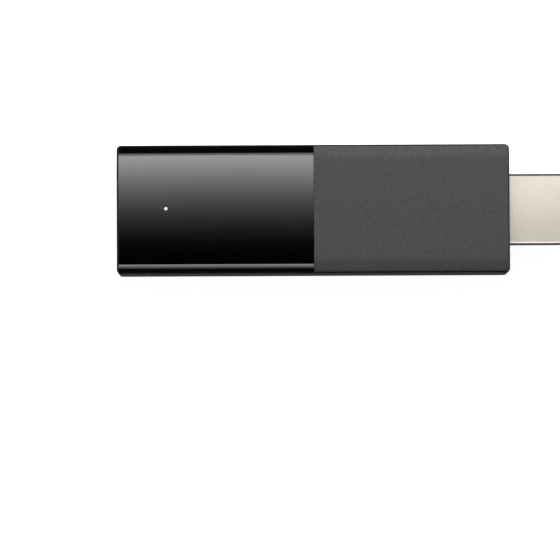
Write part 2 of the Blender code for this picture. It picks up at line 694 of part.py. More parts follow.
def video_contacts():
    """The plug's contacts: an upper row, and a lower row that is the upper one turned over."""
    outline = strip_outline(video_contact_path(), CONTACT_SHEET)
    first = prism("video_contact", outline, CONTACT_WIDTH, (0.0, 0.0, 0.0), ALONG_THE_STICK)
    shared = first.data
    bpy.data.objects.remove(first, do_unlink=True)
    number = 1
    for side, count in ((1, UPPER_CONTACTS), (-1, LOWER_CONTACTS)):
        for middle_y in row_places(count, CONTACT_PITCH):
            contact = bpy.data.objects.new(f"video_contact_{number:02d}", shared)
            contact.location = (PLUG_REAR_X, middle_y, BOARD_Z)
            contact.rotation_euler = (side * math.pi / 2, 0.0, 0.0)
            finish(contact, GOLD)
            number += 1


def power_socket_shell():
    outline = connector_outline(
        SOCKET_WIDTH, SOCKET_HEIGHT, SOCKET_CORNER_RUN, SOCKET_CORNER_DROP, SOCKET_CORNER_RADIUS
    )
    shell = shell_tube("power_socket_shell", outline, SOCKET_MOUTH_X, SOCKET_REAR_X, SOCKET_SHEET)
    return finish(shell, TIN)


SOCKET_TONGUE_Z = BOARD_Z + SOCKET_TONGUE_RISE
SOCKET_CONTACT_Z = SOCKET_TONGUE_Z - SOCKET_TONGUE_WALL / 2 + SOCKET_CONTACT_SHEET / 2


def power_socket_tongue():
    """The socket's moulded base and the tongue that stands out of it, with a groove for each contact."""
    trim = 2 * (SOCKET_SHEET + SOCKET_CONTACT_FIT)
    outline = connector_outline(
        SOCKET_WIDTH - trim,
        SOCKET_HEIGHT - trim,
        SOCKET_CORNER_RUN,
        SOCKET_CORNER_DROP,
        SOCKET_CORNER_RADIUS / 2,
    )
    place = (SOCKET_REAR_X - SOCKET_BASE / 2, 0.0, BOARD_Z)
    base = prism("power_socket_tongue", outline, SOCKET_BASE, place, ACROSS_THE_STICK)
    half_width, half_wall = SOCKET_TONGUE_WIDTH / 2, SOCKET_TONGUE_WALL / 2
    tongue_low = (SOCKET_MOUTH_X + SOCKET_TONGUE_RECESS, -half_width, SOCKET_TONGUE_Z - half_wall)
    tongue_high = (SOCKET_REAR_X - SOCKET_BASE / 2, half_width, SOCKET_TONGUE_Z + half_wall)
    join(base, block("socket_tongue", tongue_low, tongue_high))
    groove_half = SOCKET_CONTACT_WIDTH / 2 + SOCKET_CONTACT_FIT
    reach = SOCKET_CONTACT_SHEET / 2 + SOCKET_CONTACT_FIT
    for index, middle_y in enumerate(row_places(SOCKET_CONTACTS, SOCKET_CONTACT_PITCH)):
        low = (SOCKET_MOUTH_X, middle_y - groove_half, SOCKET_CONTACT_Z - reach)
        high = (SOCKET_REAR_X + CUT_PAST, middle_y + groove_half, SOCKET_CONTACT_Z + reach)
        cut(base, block(f"socket_groove_{index}", low, high))
    return finish(base, BLACK_RESIN)


def power_contacts():
    """The socket's contacts: straight along the tongue, then up and over the edge of the board."""
    blade_line = SOCKET_CONTACT_Z - BOARD_Z
    tail_line = BOARD_WALL / 2 + SOLDER_GAP + SOCKET_CONTACT_SHEET / 2
    rise_x = SOCKET_FIT / 2
    path = [
        (SOCKET_MOUTH_X + SOCKET_TONGUE_RECESS + SOCKET_SHEET - SOCKET_REAR_X, blade_line),
        (rise_x, blade_line),
        (rise_x, tail_line),
        (SOCKET_FIT + SOCKET_CONTACT_TAIL, tail_line),
    ]
    outline = strip_outline(path, SOCKET_CONTACT_SHEET)
    for index, middle_y in enumerate(row_places(SOCKET_CONTACTS, SOCKET_CONTACT_PITCH)):
        place = (SOCKET_REAR_X, middle_y, BOARD_Z)
        name = f"power_contact_{index + 1}"
        contact = prism(name, outline, SOCKET_CONTACT_WIDTH, place, ALONG_THE_STICK)
        finish(contact, GOLD)


def open_can(name, size, middle_x, foot_z, sheet, mouth_up=False):
    """A shallow sheet-metal can with one open side."""
    length, width, height = size
    low = (middle_x - length / 2, -width / 2, foot_z)
    high = (middle_x + length / 2, width / 2, foot_z + height)
    can = block(name, low, high)
    hollow_foot_z = foot_z + sheet if mouth_up else foot_z - CUT_PAST
    hollow_top_z = foot_z + height + CUT_PAST if mouth_up else foot_z + height - sheet
    hollow_low = (low[0] + sheet, low[1] + sheet, hollow_foot_z)
    hollow_high = (high[0] - sheet, high[1] - sheet, hollow_top_z)
    return cut(can, block(name + "_hollow", hollow_low, hollow_high))


SHIELD_FOOT_Z = BOARD_TOP_Z + SOLDER_GAP
SHIELD_TOP_Z = SHIELD_FOOT_Z + SHIELD_HEIGHT + SOLDER_GAP + SHIELD_SHEET
SPREADER_FOOT_Z = SHIELD_TOP_Z + 2 * SOLDER_GAP + SPREADER_PAD_WALL


def shield():
    """The wall soldered round the processor and its memory, and the lid pressed over that wall."""
    low = (SHIELD_X - SHIELD_LENGTH / 2, -SHIELD_HALF_WIDTH, SHIELD_FOOT_Z)
    high = (SHIELD_X + SHIELD_LENGTH / 2, SHIELD_HALF_WIDTH, SHIELD_FOOT_Z + SHIELD_HEIGHT)
    frame = block("shield_frame", low, high)
    inner_low = (low[0] + SHIELD_SHEET, low[1] + SHIELD_SHEET, low[2] - CUT_PAST)
    inner_high = (high[0] - SHIELD_SHEET, high[1] - SHIELD_SHEET, high[2] + CUT_PAST)
    cut(frame, block("shield_inside", inner_low, inner_high))
    finish(frame, TIN)
    spread = 2 * (SHIELD_SHEET + SOLDER_GAP)
    lid_size = (SHIELD_LENGTH + spread, 2 * SHIELD_HALF_WIDTH + spread, SHIELD_LID_DEPTH)
    lid = open_can("shield_lid", lid_size, SHIELD_X, SHIELD_TOP_Z - SHIELD_LID_DEPTH, SHIELD_SHEET)
    finish(lid, TIN)


def cooling():
    """A pad from the processor to the lid of its shield, one from there to a plate, and the plate."""
    length, width = THERMAL_PAD_SIZE
    middle_x = processor_x()
    pad_foot_z = SHIELD_FOOT_Z + PROCESSOR_SIZE[2] + SOLDER_GAP
    pad_top_z = SHIELD_TOP_Z - SHIELD_SHEET - SOLDER_GAP
    low = (middle_x - length / 2, -width / 2, pad_foot_z)
    high = (middle_x + length / 2, width / 2, pad_top_z)
    finish(block("thermal_pad_inner", low, high), PAD_GREY)
    low = (middle_x - length / 2, -width / 2, SHIELD_TOP_Z + SOLDER_GAP)
    high = (middle_x + length / 2, width / 2, SPREADER_FOOT_Z - SOLDER_GAP)
    finish(block("thermal_pad_outer", low, high), PAD_GREY)
    half_length, half_width = SPREADER_LENGTH / 2, SKIRT_INNER_HALF - SPREADER_TO_SKIRT
    corners = [
        (-half_length, -half_width),
        (half_length, -half_width),
        (half_length, half_width),
        (-half_length, half_width),
    ]
    outline = rounded(corners, SPREADER_CORNER_RADIUS)
    place = (SHIELD_X, 0.0, SPREADER_FOOT_Z + SPREADER_WALL / 2)
    finish(prism("heat_spreader", outline, SPREADER_WALL, place, (0.0, 0.0, 0.0)), ALUMINIUM)


def processor_x():
    """The processor sits at the tail end of its shield, and the memory at the nose end."""
    return SHIELD_X - (SHIELD_LENGTH - PROCESSOR_SIZE[0]) / 2 + SHIELD_SHEET + CHIPS_TO_SHIELD_END


def antennas():
    """Two upright stamped antennas, one along each long edge of the board."""
    reach, height, band = ANTENNA_LENGTH, ANTENNA_HEIGHT, ANTENNA_BAND
    second = ANTENNA_LEG_APART
    outline = [
        (0.0, 0.0),
        (ANTENNA_LEG, 0.0),
        (ANTENNA_LEG, height - band),
        (second, height - band),
        (second, 0.0),
        (second + ANTENNA_LEG, 0.0),
        (second + ANTENNA_LEG, height - band),
        (reach, height - band),
        (reach, height),
        (0.0, height),
    ]
    for name, side in (("antenna_upper", 1), ("antenna_lower", -1)):
        place_y = side * (SKIRT_INNER_HALF - ANTENNA_TO_SKIRT - ANTENNA_SHEET / 2)
        place = (TAIL_X + ANTENNA_FROM_TAIL - reach / 2, place_y, BOARD_TOP_Z + SOLDER_GAP)
        finish(prism(name, outline, ANTENNA_SHEET, place, ALONG_THE_STICK), TIN)


def front_electronics():
    on_front("processor", PROCESSOR_SIZE, processor_x(), 0.0, CHIP_RESIN)
    memory_x = SHIELD_X + (SHIELD_LENGTH - MEMORY_LENGTH) / 2 - SHIELD_SHEET - CHIPS_TO_SHIELD_END
    inner_y, outer_y = MEMORY_APART / 2, SHIELD_HALF_WIDTH - SHIELD_SHEET - MEMORY_TO_SHIELD_SIDE
    memory_size = (MEMORY_LENGTH, outer_y - inner_y, MEMORY_HEIGHT)
    memory_y = (inner_y + outer_y) / 2
    on_front("memory_chip_1", memory_size, memory_x, memory_y, CHIP_RESIN)
    on_front("memory_chip_2", memory_size, memory_x, -memory_y, CHIP_RESIN)
    on_front("status_led", LED_SIZE, LIGHT_X, 0.0, CLEAR_WHITE)


def back_row_xs():
    """The X of each part in the row behind the board: equal gaps, from the tail posts to the nose posts."""
    sizes = (RADIO_SIZE, CAPACITOR_SIZE, STORAGE_SIZE, POWER_CHIP_SIZE, COIL_SIZE)
    lengths = [size[0] for size in sizes]
    edge_x = POST_XS[0] + POST_RADIUS
    room = POST_XS[1] - POST_RADIUS - edge_x
    gap = (room - sum(lengths)) / (len(lengths) + 1)
    middles = []
    for length in lengths:
        middles.append(edge_x + gap + length / 2)
        edge_x += gap + length
    return middles


def radio(middle_x):
    """The radio's own small board, and the can over it."""
    on_back("radio_module", RADIO_SIZE, middle_x, 0.0, BOARD_GREEN)
    can_top_z = BOARD_BACK_Z - 2 * SOLDER_GAP - RADIO_SIZE[2]
    foot_z = can_top_z - RADIO_CAN_SIZE[2]
    can = open_can("radio_can", RADIO_CAN_SIZE, middle_x, foot_z, SHIELD_SHEET, mouth_up=True)
    finish(can, TIN)


def back_electronics():
    radio_x, capacitor_x, storage_x, power_x, coil_x = back_row_xs()
    radio(radio_x)
    on_back("storage_chip", STORAGE_SIZE, storage_x, 0.0, CHIP_RESIN)
    on_back("power_chip", POWER_CHIP_SIZE, power_x, 0.0, CHIP_RESIN)
    on_back("crystal", CRYSTAL_SIZE, power_x, POWER_CHIP_SIZE[1] / 2 + CRYSTAL_SIZE[1], TIN)
    for index, middle_y in enumerate(row_places(COILS, COIL_PITCH)):
        on_back(f"coil_{index + 1}", COIL_SIZE, coil_x, middle_y, FERRITE, COIL_EDGE_RADIUS)
    for index, middle_y in enumerate(row_places(CAPACITORS, CAPACITOR_PITCH)):
        on_back(f"capacitor_{index + 1}", CAPACITOR_SIZE, capacitor_x, middle_y, CERAMIC)


def build():
    rear_cover()
    front_cover_gloss()
    front_cover_matte()
    light_pipe()
    main_board()
    front_electronics()
    shield()
    cooling()
    antennas()
    back_electronics()
    video_plug_shell()
    video_plug_insulator()
    video_contacts()
    power_socket_shell()
    power_socket_tongue()
    power_contacts()


build()
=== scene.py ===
# %% [markdown]
# # A television stick in two finishes
# The stick is a small case with a video plug at its nose and a power socket in its tail. A seam across the
# front parts a polished half from a grained one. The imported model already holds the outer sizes, so this
# script adds the surfaces that the eye meets, then the light and the camera.

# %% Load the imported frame
import json
import math

import bmesh
import bpy
from mathutils import Matrix, Vector


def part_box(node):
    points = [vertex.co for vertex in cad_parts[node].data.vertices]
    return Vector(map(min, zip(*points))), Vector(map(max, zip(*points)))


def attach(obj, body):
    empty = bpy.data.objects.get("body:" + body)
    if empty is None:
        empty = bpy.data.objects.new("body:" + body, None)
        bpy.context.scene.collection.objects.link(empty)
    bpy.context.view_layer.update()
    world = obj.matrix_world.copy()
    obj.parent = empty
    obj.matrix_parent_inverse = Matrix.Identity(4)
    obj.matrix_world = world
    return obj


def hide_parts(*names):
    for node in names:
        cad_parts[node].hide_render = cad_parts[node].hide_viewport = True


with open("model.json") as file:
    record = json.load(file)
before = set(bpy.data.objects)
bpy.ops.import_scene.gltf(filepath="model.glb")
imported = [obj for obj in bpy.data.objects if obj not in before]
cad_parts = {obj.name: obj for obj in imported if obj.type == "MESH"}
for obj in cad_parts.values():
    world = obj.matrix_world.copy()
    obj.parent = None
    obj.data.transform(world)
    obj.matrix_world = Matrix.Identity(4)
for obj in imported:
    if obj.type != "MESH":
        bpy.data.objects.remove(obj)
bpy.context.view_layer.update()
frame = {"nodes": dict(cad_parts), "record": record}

MM = 0.001
GLOSS_LOW, GLOSS_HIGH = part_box("front_cover_gloss")
MATTE_LOW, MATTE_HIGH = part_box("front_cover_matte")
REAR_LOW, REAR_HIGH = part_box("rear_cover")
BOARD_LOW, BOARD_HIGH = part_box("main_board")
BOARD_Z = (BOARD_LOW.z + BOARD_HIGH.z) / 2

# %% [markdown]
# ## Helpers for shapes
# Most pieces here are lofts: rings of points, all with the same count, joined by bands of faces. A ring can
# be shrunk a little from one station to the next, and that is how an end gets its rounded edge. Booleans
# then join and cut the simpler blocks. Each Boolean is applied at once, so a finished piece is one plain
# mesh.


# %% Lofts, blocks and Booleans
def keep(form, name):
    """A new object from a bmesh, with its faces turned outwards."""
    bmesh.ops.recalc_face_normals(form, faces=form.faces)
    mesh = bpy.data.meshes.new(name)
    form.to_mesh(mesh)
    form.free()
    piece = bpy.data.objects.new(name, mesh)
    bpy.context.scene.collection.objects.link(piece)
    return piece


def loft(name, rings, closed=False):
    """Bands of faces through rings of points. The two ends are capped, or joined to each other."""
    form = bmesh.new()
    rows = [[form.verts.new(point) for point in ring] for ring in rings]
    for near, far in zip(rows, rows[1:] + (rows[:1] if closed else [])):
        for index in range(len(near)):
            form.faces.new((near[index - 1], near[index], far[index], far[index - 1]))
    if not closed:
        form.faces.new(rows[0])
        form.faces.new(rows[-1])
    return keep(form, name)


def blocks(name, spans, radius=0.0):
    """One object of separate boxes, each given by two corners, with rounded edges where a radius is given."""
    form = bmesh.new()
    for low, high in spans:
        low, high = Vector(low), Vector(high)
        place = Matrix.Translation((low + high) / 2) @ Matrix.Diagonal((*(high - low), 1.0))
        bmesh.ops.create_cube(form, size=1.0, matrix=place)
    if radius:
        bmesh.ops.bevel(form, geom=form.edges[:], offset=radius, segments=2, profile=0.5, affect="EDGES")
    return keep(form, name)


def settle(piece):
    """Turns a piece and its modifiers into a plain mesh."""
    graph = bpy.context.evaluated_depsgraph_get()
    mesh = bpy.data.meshes.new_from_object(piece.evaluated_get(graph))
    piece.modifiers.clear()
    piece.data = mesh
    return piece


def boolean(piece, tool, operation):
    """Joins a tool to a piece, or cuts it away, and removes the tool."""
    modifier = piece.modifiers.new(tool.name, "BOOLEAN")
    modifier.operation = operation
    modifier.object = tool
    settle(piece)
    bpy.data.objects.remove(tool, do_unlink=True)
    return piece


def join(piece, tool):
    return boolean(piece, tool, "UNION")


def cut(piece, tool):
    return boolean(piece, tool, "DIFFERENCE")


# %% [markdown]
# ## Rounded outlines
# A moulded or pressed part has no sharp corner. `fillet` replaces one corner of a flat outline by an arc
# that touches both sides, and `inset_outline` moves every side inwards by the same distance, as a wall
# does.


# %% Flat outlines
def fillet(before, corner, after, radius, steps):
    """The arc that rounds one corner of an outline."""
    corner = Vector(corner)
    back = (Vector(before) - corner).normalized()
    onward = (Vector(after) - corner).normalized()
    half_angle = back.angle(onward) / 2
    centre = corner + (back + onward).normalized() * radius / math.sin(half_angle)
    start = corner + back * radius / math.tan(half_angle) - centre
    end = corner + onward * radius / math.tan(half_angle) - centre
    sweep = start.angle_signed(end)
    return [centre + Matrix.Rotation(-sweep * step / steps, 2) @ start for step in range(steps + 1)]


CORNER_STEPS = 6


def rounded(corners, radius):
    """A closed outline with every corner rounded."""
    outline = []
    for index, corner in enumerate(corners):
        following = corners[(index + 1) % len(corners)]
        outline += fillet(corners[index - 1], corner, following, radius, CORNER_STEPS)
    return outline


def inset_outline(corners, inset):
    """The same outline with each side moved inwards; the corners run anticlockwise."""
    moved = []
    for index, corner in enumerate(corners):
        here = Vector(corner)
        arriving = (here - Vector(corners[index - 1])).normalized()
        leaving = (Vector(corners[(index + 1) % len(corners)]) - here).normalized()
        inward = Vector((-arriving.y, arriving.x)), Vector((-leaving.y, leaving.x))
        moved.append(here + (inward[0] + inward[1]) * inset / (1 + inward[0].dot(inward[1])))
    return moved


def connector_corners(width, height, run, drop):
    """A connector seen from its end, with the two corners nearest the back cut off, anticlockwise."""
    half, top, foot = width / 2, height / 2, -height / 2
    right = [(half - run, foot), (half, foot + drop), (half, top)]
    return right + [(-across, up) for across, up in reversed(right)]


# %% [markdown]
# ## Finishes
# Every finish is a Principled shader with noise on Object coordinates, so that the grain has a real size in
# millimetres and stays on the piece. A slow noise mottles the colour and the roughness, and a fine one
# makes the bump. Where a finish wears, a Bevel node finds the edges, which handling rubs paler than the
# faces.


# %% A maker for materials
def add_node(tree, kind, inputs=(), **settings):
    """Adds a node. Each input is a value, or the output socket that feeds it."""
    node = tree.nodes.new(kind)
    for name, value in settings.items():
        setattr(node, name, value)
    for key, value in dict(inputs).items():
        if isinstance(value, bpy.types.NodeSocket):
            tree.links.new(value, node.inputs[key])
        else:
            node.inputs[key].default_value = value
    return node


NOISE_LOW, NOISE_HIGH = 0.3, 0.7  # the span of the slow noise that moves the roughness
SLOW_DETAIL, FINE_DETAIL = 3.0, 2.0
BEVEL_SAMPLES = 4
FACE_MATCH, EDGE_MATCH = 0.99, 0.85  # how far a rounded normal agrees with the true one
RUBBED_GAIN, RUBBED_LIFT = 3, 0.02


def finish_of(name, colour, roughness, metallic=0.0, mottle=0.05, patch=2.0 * MM, grain=0.12 * MM,
              depth=0.004 * MM, stretch=(1.0, 1.0, 1.0), worn=0.0, edge=0.15 * MM, glow=0.0, sheen=0.5):
    """A procedural material. Patch and grain are the sizes of the mottling and of the fine texture.

    Inputs 1 to 4 of a Map Range node are its limits. A Mix node takes colours at 6 and 7, and gives one
    at 2.
    """
    material = bpy.data.materials.new(name)
    material.use_nodes = True
    tree = material.node_tree
    shader = tree.nodes["Principled BSDF"]
    shader.inputs["Metallic"].default_value = metallic
    shader.inputs["Specular IOR Level"].default_value = sheen
    shader.inputs["Emission Strength"].default_value = glow
    shader.inputs["Emission Color"].default_value = (*colour, 1.0)
    place = add_node(tree, "ShaderNodeTexCoord").outputs["Object"]
    stretched = add_node(tree, "ShaderNodeMapping", {"Vector": place, "Scale": stretch}).outputs["Vector"]
    slow = {"Vector": stretched, "Scale": 1 / patch, "Detail": SLOW_DETAIL}
    slow = add_node(tree, "ShaderNodeTexNoise", slow).outputs["Fac"]
    fine = {"Vector": stretched, "Scale": 1 / grain, "Detail": FINE_DETAIL}
    fine = add_node(tree, "ShaderNodeTexNoise", fine).outputs["Fac"]
    dark = [channel * (1 - mottle) for channel in colour] + [1.0]
    pale = [min(channel * (1 + mottle), 1.0) for channel in colour] + [1.0]
    mix = add_node(tree, "ShaderNodeMix", {"Factor": slow, 6: dark, 7: pale}, data_type="RGBA")
    shade = mix.outputs[2]
    rough = {"Value": slow, 1: NOISE_LOW, 2: NOISE_HIGH,
             3: roughness * (1 - mottle), 4: roughness * (1 + mottle)}
    rough = add_node(tree, "ShaderNodeMapRange", rough).outputs["Result"]
    if worn:
        rim = add_node(tree, "ShaderNodeBevel", {"Radius": edge}, samples=BEVEL_SAMPLES).outputs["Normal"]
        flat = add_node(tree, "ShaderNodeNewGeometry").outputs["Normal"]
        along = add_node(tree, "ShaderNodeVectorMath", {0: rim, 1: flat}, operation="DOT_PRODUCT")
        rubbed = {"Value": along.outputs["Value"], 1: FACE_MATCH, 2: EDGE_MATCH, 3: 0.0, 4: worn}
        rubbed = add_node(tree, "ShaderNodeMapRange", rubbed).outputs["Result"]
        patchy = add_node(tree, "ShaderNodeMath", {0: rubbed, 1: fine}, operation="MULTIPLY").outputs[0]
        bare = [min(channel * RUBBED_GAIN + RUBBED_LIFT, 1.0) for channel in colour] + [1.0]
        mix = add_node(tree, "ShaderNodeMix", {"Factor": patchy, 6: shade, 7: bare}, data_type="RGBA")
        shade = mix.outputs[2]
    bump = {"Height": fine, "Strength": 1.0, "Distance": depth}
    bump = add_node(tree, "ShaderNodeBump", bump).outputs["Normal"]
    tree.links.new(shade, shader.inputs["Base Color"])
    tree.links.new(rough, shader.inputs["Roughness"])
    tree.links.new(bump, shader.inputs["Normal"])
    return material


# %% The finishes, one for each of the record's slots
FINISHES = {
    "gloss_black": finish_of("polished_black", (0.0008, 0.0008, 0.0009), 0.05, mottle=0.25, patch=6.0 * MM,
                             grain=0.6 * MM, depth=0.00002 * MM),
    "matte_grey": finish_of("grained_grey", (0.055, 0.055, 0.0555), 0.5, mottle=0.4, patch=0.6 * MM,
                            grain=0.1 * MM, depth=0.006 * MM, worn=0.1, edge=0.2 * MM, sheen=0.15),
    # The light pipe's white has a faint painted glow: its emission stands in for light, as no lamp shines
    # inside it.
    "light_white": finish_of("white_painted_glow", (0.74, 0.76, 0.78), 0.4, mottle=0.02, glow=0.15),
    "plug_steel": finish_of("plated_steel", (0.48, 0.448, 0.39), 0.42, 1.0, mottle=0.14, patch=0.45 * MM,
                            grain=0.12 * MM, depth=0.006 * MM, worn=0.4),
    "gold_plate": finish_of("gold_plate", (0.83, 0.62, 0.28), 0.22, 1.0, mottle=0.06, patch=0.5 * MM,
                            grain=0.05 * MM, depth=0.001 * MM, stretch=(0.3, 1.0, 1.0)),
    "black_resin": finish_of("moulded_black", (0.02, 0.02, 0.021), 0.5, mottle=0.1, patch=0.8 * MM,
                             grain=0.08 * MM, depth=0.003 * MM),
    "tinned_sheet": finish_of("tinned_sheet", (0.68, 0.69, 0.7), 0.32, 1.0, mottle=0.08, patch=1.5 * MM,
                              grain=0.2 * MM, depth=0.003 * MM, stretch=(0.25, 1.0, 1.0), worn=0.3),
    "circuit_board": finish_of("solder_mask", (0.008, 0.07, 0.034), 0.36, mottle=0.18, patch=1.0 * MM,
                               grain=0.25 * MM, depth=0.006 * MM, stretch=(1.0, 0.25, 1.0)),
    "chip_resin": finish_of("chip_resin", (0.026, 0.026, 0.028), 0.55, mottle=0.12, patch=0.5 * MM,
                            grain=0.06 * MM, depth=0.004 * MM),
    "ferrite": finish_of("ferrite", (0.085, 0.085, 0.09), 0.68, mottle=0.2, patch=0.4 * MM,
                         grain=0.09 * MM, depth=0.012 * MM, worn=0.5),
    "ceramic": finish_of("ceramic", (0.4, 0.29, 0.19), 0.5, mottle=0.1, patch=0.6 * MM,
                         grain=0.07 * MM, depth=0.003 * MM),
    "thermal_pad": finish_of("thermal_pad", (0.33, 0.4, 0.48), 0.8, mottle=0.1, patch=0.9 * MM,
                             grain=0.15 * MM, depth=0.02 * MM),
    "aluminium": finish_of("rolled_aluminium", (0.75, 0.76, 0.77), 0.36, 1.0, mottle=0.08, patch=2.0 * MM,
                           grain=0.12 * MM, depth=0.003 * MM, stretch=(0.08, 1.0, 1.0), worn=0.3),
}
for entry in frame["record"]["subparts"]:
    node = frame["nodes"][entry["node"]]
    node.data.materials.clear()
    node.data.materials.append(FINISHES[entry["material_slot"]])
print(len(FINISHES), "finishes made")


# %% Ending a piece
WELD = 0.001 * MM
SHARP_ANGLE = math.radians(32)


def close_up(piece):
    """Welds a piece, takes out its slivers and splits its faces into triangles, so that it exports closed."""
    form = bmesh.new()
    form.from_mesh(piece.data)
    bmesh.ops.remove_doubles(form, verts=form.verts, dist=WELD)
    bmesh.ops.dissolve_degenerate(form, dist=WELD, edges=form.edges)
    bmesh.ops.triangulate(form, faces=form.faces)
    form.to_mesh(piece.data)
    form.free()


def hand_over(piece, slot, *nodes):
    """Gives a piece its finish and its shading, and lets it stand for CAD nodes."""
    close_up(piece)
    if not piece.data.materials:
        piece.data.materials.append(FINISHES[slot])
    piece.data.shade_smooth()
    piece.data.set_sharp_from_angle(angle=SHARP_ANGLE)
    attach(piece, "root")
    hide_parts(*nodes)
    print(piece.name, len(piece.data.polygons), "faces")


# %% [markdown]
# ## The front covers
# Each half of the front is a moulded cap: a face with a faint crown, a shaped edge down both long sides,
# and a skirt that snaps into the tray behind it. The crown is what makes the polished half shade from pale
# to black, because each strip of it mirrors another part of the reflector. The two halves have different
# edges: a rolled one that bulges on the polished half, and a wide soft bevel on the grained half.

# %% The section of a front cover
REAR_WALL = 1.3 * MM
FACE_WALL = 1.2 * MM
BEVEL_DROP = 1.2 * MM
COVER_EDGE = 0.6 * MM
CROWN = 0.2 * MM
CROWN_STEPS = 20
CURVE_STEPS = 8
END_STEPS = 5
LEAST_RADIUS = 0.02 * MM
COVER_HALF = GLOSS_HIGH.y
FACE_Z = GLOSS_HIGH.z
COVER_FOOT_Z = FACE_Z - BEVEL_DROP - COVER_EDGE
FACE_INNER_Z = FACE_Z - FACE_WALL


def edge_corners(*inner):
    """The corners along both long edges; each inner one is given as how far in and how far down it is."""
    right = [(COVER_HALF, COVER_FOOT_Z), (COVER_HALF, FACE_Z - BEVEL_DROP)]
    right += [(COVER_HALF - run, FACE_Z - drop) for run, drop in inner]
    return right + [(-across, up) for across, up in reversed(right)]


POLISHED_EDGE = edge_corners((0.59 * MM, 0.474 * MM), (1.44 * MM, CROWN))
POLISHED_RADII = (0.4 * MM, 2.4 * MM, 0.3 * MM)
GRAINED_EDGE = edge_corners((2.2 * MM, CROWN))
GRAINED_RADII = (0.45 * MM, 3.0 * MM)


def cover_section(corners, radii, inset):
    """A front cover seen from its end, from one foot over the crown to the other."""
    right = inset_outline(corners, inset)[:len(corners) // 2]
    right[0].y = COVER_FOOT_Z
    crease = right[-1]
    aims = right + [Vector((0.0, crease.y + 2 * CROWN))]
    points = [right[0]]
    for index, radius in enumerate(radii, start=1):
        radius = max(radius - inset, LEAST_RADIUS)
        points += fillet(*aims[index - 1:index + 2], radius, CURVE_STEPS)
    start_y = points[-1].x
    for step in range(1, CROWN_STEPS + 1):
        across = start_y * (1 - step / CROWN_STEPS)
        points.append(Vector((across, crease.y + CROWN * (1 - (across / crease.x) ** 2))))
    return points + [Vector((-point.x, point.y)) for point in reversed(points[:-1])]


def end_stations(tail_x, nose_x, tail_radius, nose_radius):
    """Where the sections stand along the stick, and how far each is shrunk to round the two ends."""
    turns = [math.radians(90) * step / END_STEPS for step in range(END_STEPS + 1)]
    tail = [(tail_x + tail_radius * (1 - math.cos(a)), tail_radius * (1 - math.sin(a))) for a in turns]
    nose = [(nose_x - nose_radius * (1 - math.cos(a)), nose_radius * (1 - math.sin(a))) for a in turns]
    return tail + nose[::-1]


# %% The caps themselves, with skirt and snaps
SEAM_GAP = 0.3 * MM
SEAM_X = GLOSS_HIGH.x + SEAM_GAP / 2
SEAM_LINE = 0.04 * MM
SEAM_RADIUS = 0.03 * MM
END_RADIUS = 0.15 * MM
FIT = 0.3 * MM
SKIRT_WALL = 0.8 * MM
SKIRT_FOOT_Z = GLOSS_LOW.z
SKIRT_HALF = REAR_HIGH.y - REAR_WALL - FIT
SKIRT_INNER = SKIRT_HALF - SKIRT_WALL
SKIRT_SPAN = (REAR_LOW.x + REAR_WALL + FIT, REAR_HIGH.x - REAR_WALL - FIT)
BARB = Vector((4.0, 0.6, 0.8)) * MM
BARB_ABOVE_FOOT = 0.4 * MM
BARB_EDGE = 0.08 * MM
PAST = 1.0 * MM


def barb_spans(start_x, end_x, grow=0.0):
    """The four snaps of one cover, or with a growth the grooves that take them."""
    quarter = (end_x - start_x) / 4
    foot_z = SKIRT_FOOT_Z + BARB_ABOVE_FOOT
    inner = SKIRT_HALF - SKIRT_WALL / 2
    spans = []
    for middle_x in (start_x + quarter, end_x - quarter):
        for side in (-1, 1):
            low_y, high_y = sorted((side * inner, side * (SKIRT_HALF + BARB.y + grow)))
            low = (middle_x - BARB.x / 2 - grow, low_y, foot_z - grow)
            spans.append((low, (middle_x + BARB.x / 2 + grow, high_y, foot_z + BARB.z + grow)))
    return spans


def front_cover(name, span, end_radii, corners, radii):
    """A cap with its skirt and snaps; the skirt is open where the two halves of the front meet."""
    rings = []
    for x, inset in end_stations(*span, *end_radii):
        rings.append([(x, point.x, point.y) for point in cover_section(corners, radii, inset)])
    cover = loft(name, rings)
    start_x, end_x = max(span[0], SKIRT_SPAN[0]), min(span[1], SKIRT_SPAN[1])
    at_tail = start_x > span[0]
    skirt = ((start_x, -SKIRT_HALF, SKIRT_FOOT_Z), (end_x, SKIRT_HALF, FACE_INNER_Z))
    join(cover, blocks("skirt", [skirt]))
    low_x = start_x + SKIRT_WALL if at_tail else start_x - PAST
    high_x = end_x + PAST if at_tail else end_x - SKIRT_WALL
    hollow = ((low_x, -SKIRT_INNER, SKIRT_FOOT_Z - PAST), (high_x, SKIRT_INNER, FACE_INNER_Z))
    cut(cover, blocks("hollow", [hollow]))
    return join(cover, blocks("snaps", barb_spans(start_x, end_x), radius=BARB_EDGE))


LIGHT_LOW, LIGHT_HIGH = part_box("light_pipe")
LIGHT_X = (LIGHT_LOW.x + LIGHT_HIGH.x) / 2
LIGHT_RADIUS = 0.33 * MM
LIGHT_GAP = 0.06 * MM
LIGHT_SIDES = 48


def circle(radius, place, count=LIGHT_SIDES):
    """A ring of points round an upright axis."""
    turns = [math.tau * index / count for index in range(count)]
    return [(place[0] + radius * math.cos(a), place[1] + radius * math.sin(a), place[2]) for a in turns]


# %% The polished half, with the hole for the light
GLOSS_SPAN = (GLOSS_LOW.x, SEAM_X - SEAM_LINE / 2)
gloss = front_cover("cover_polished", GLOSS_SPAN, (END_RADIUS, SEAM_RADIUS), POLISHED_EDGE, POLISHED_RADII)
hole_ends = (FACE_INNER_Z - PAST, FACE_Z + PAST)
cut(gloss, loft("light_hole", [circle(LIGHT_RADIUS + LIGHT_GAP, (LIGHT_X, 0.0, z)) for z in hole_ends]))
hand_over(gloss, "gloss_black", "front_cover_gloss")

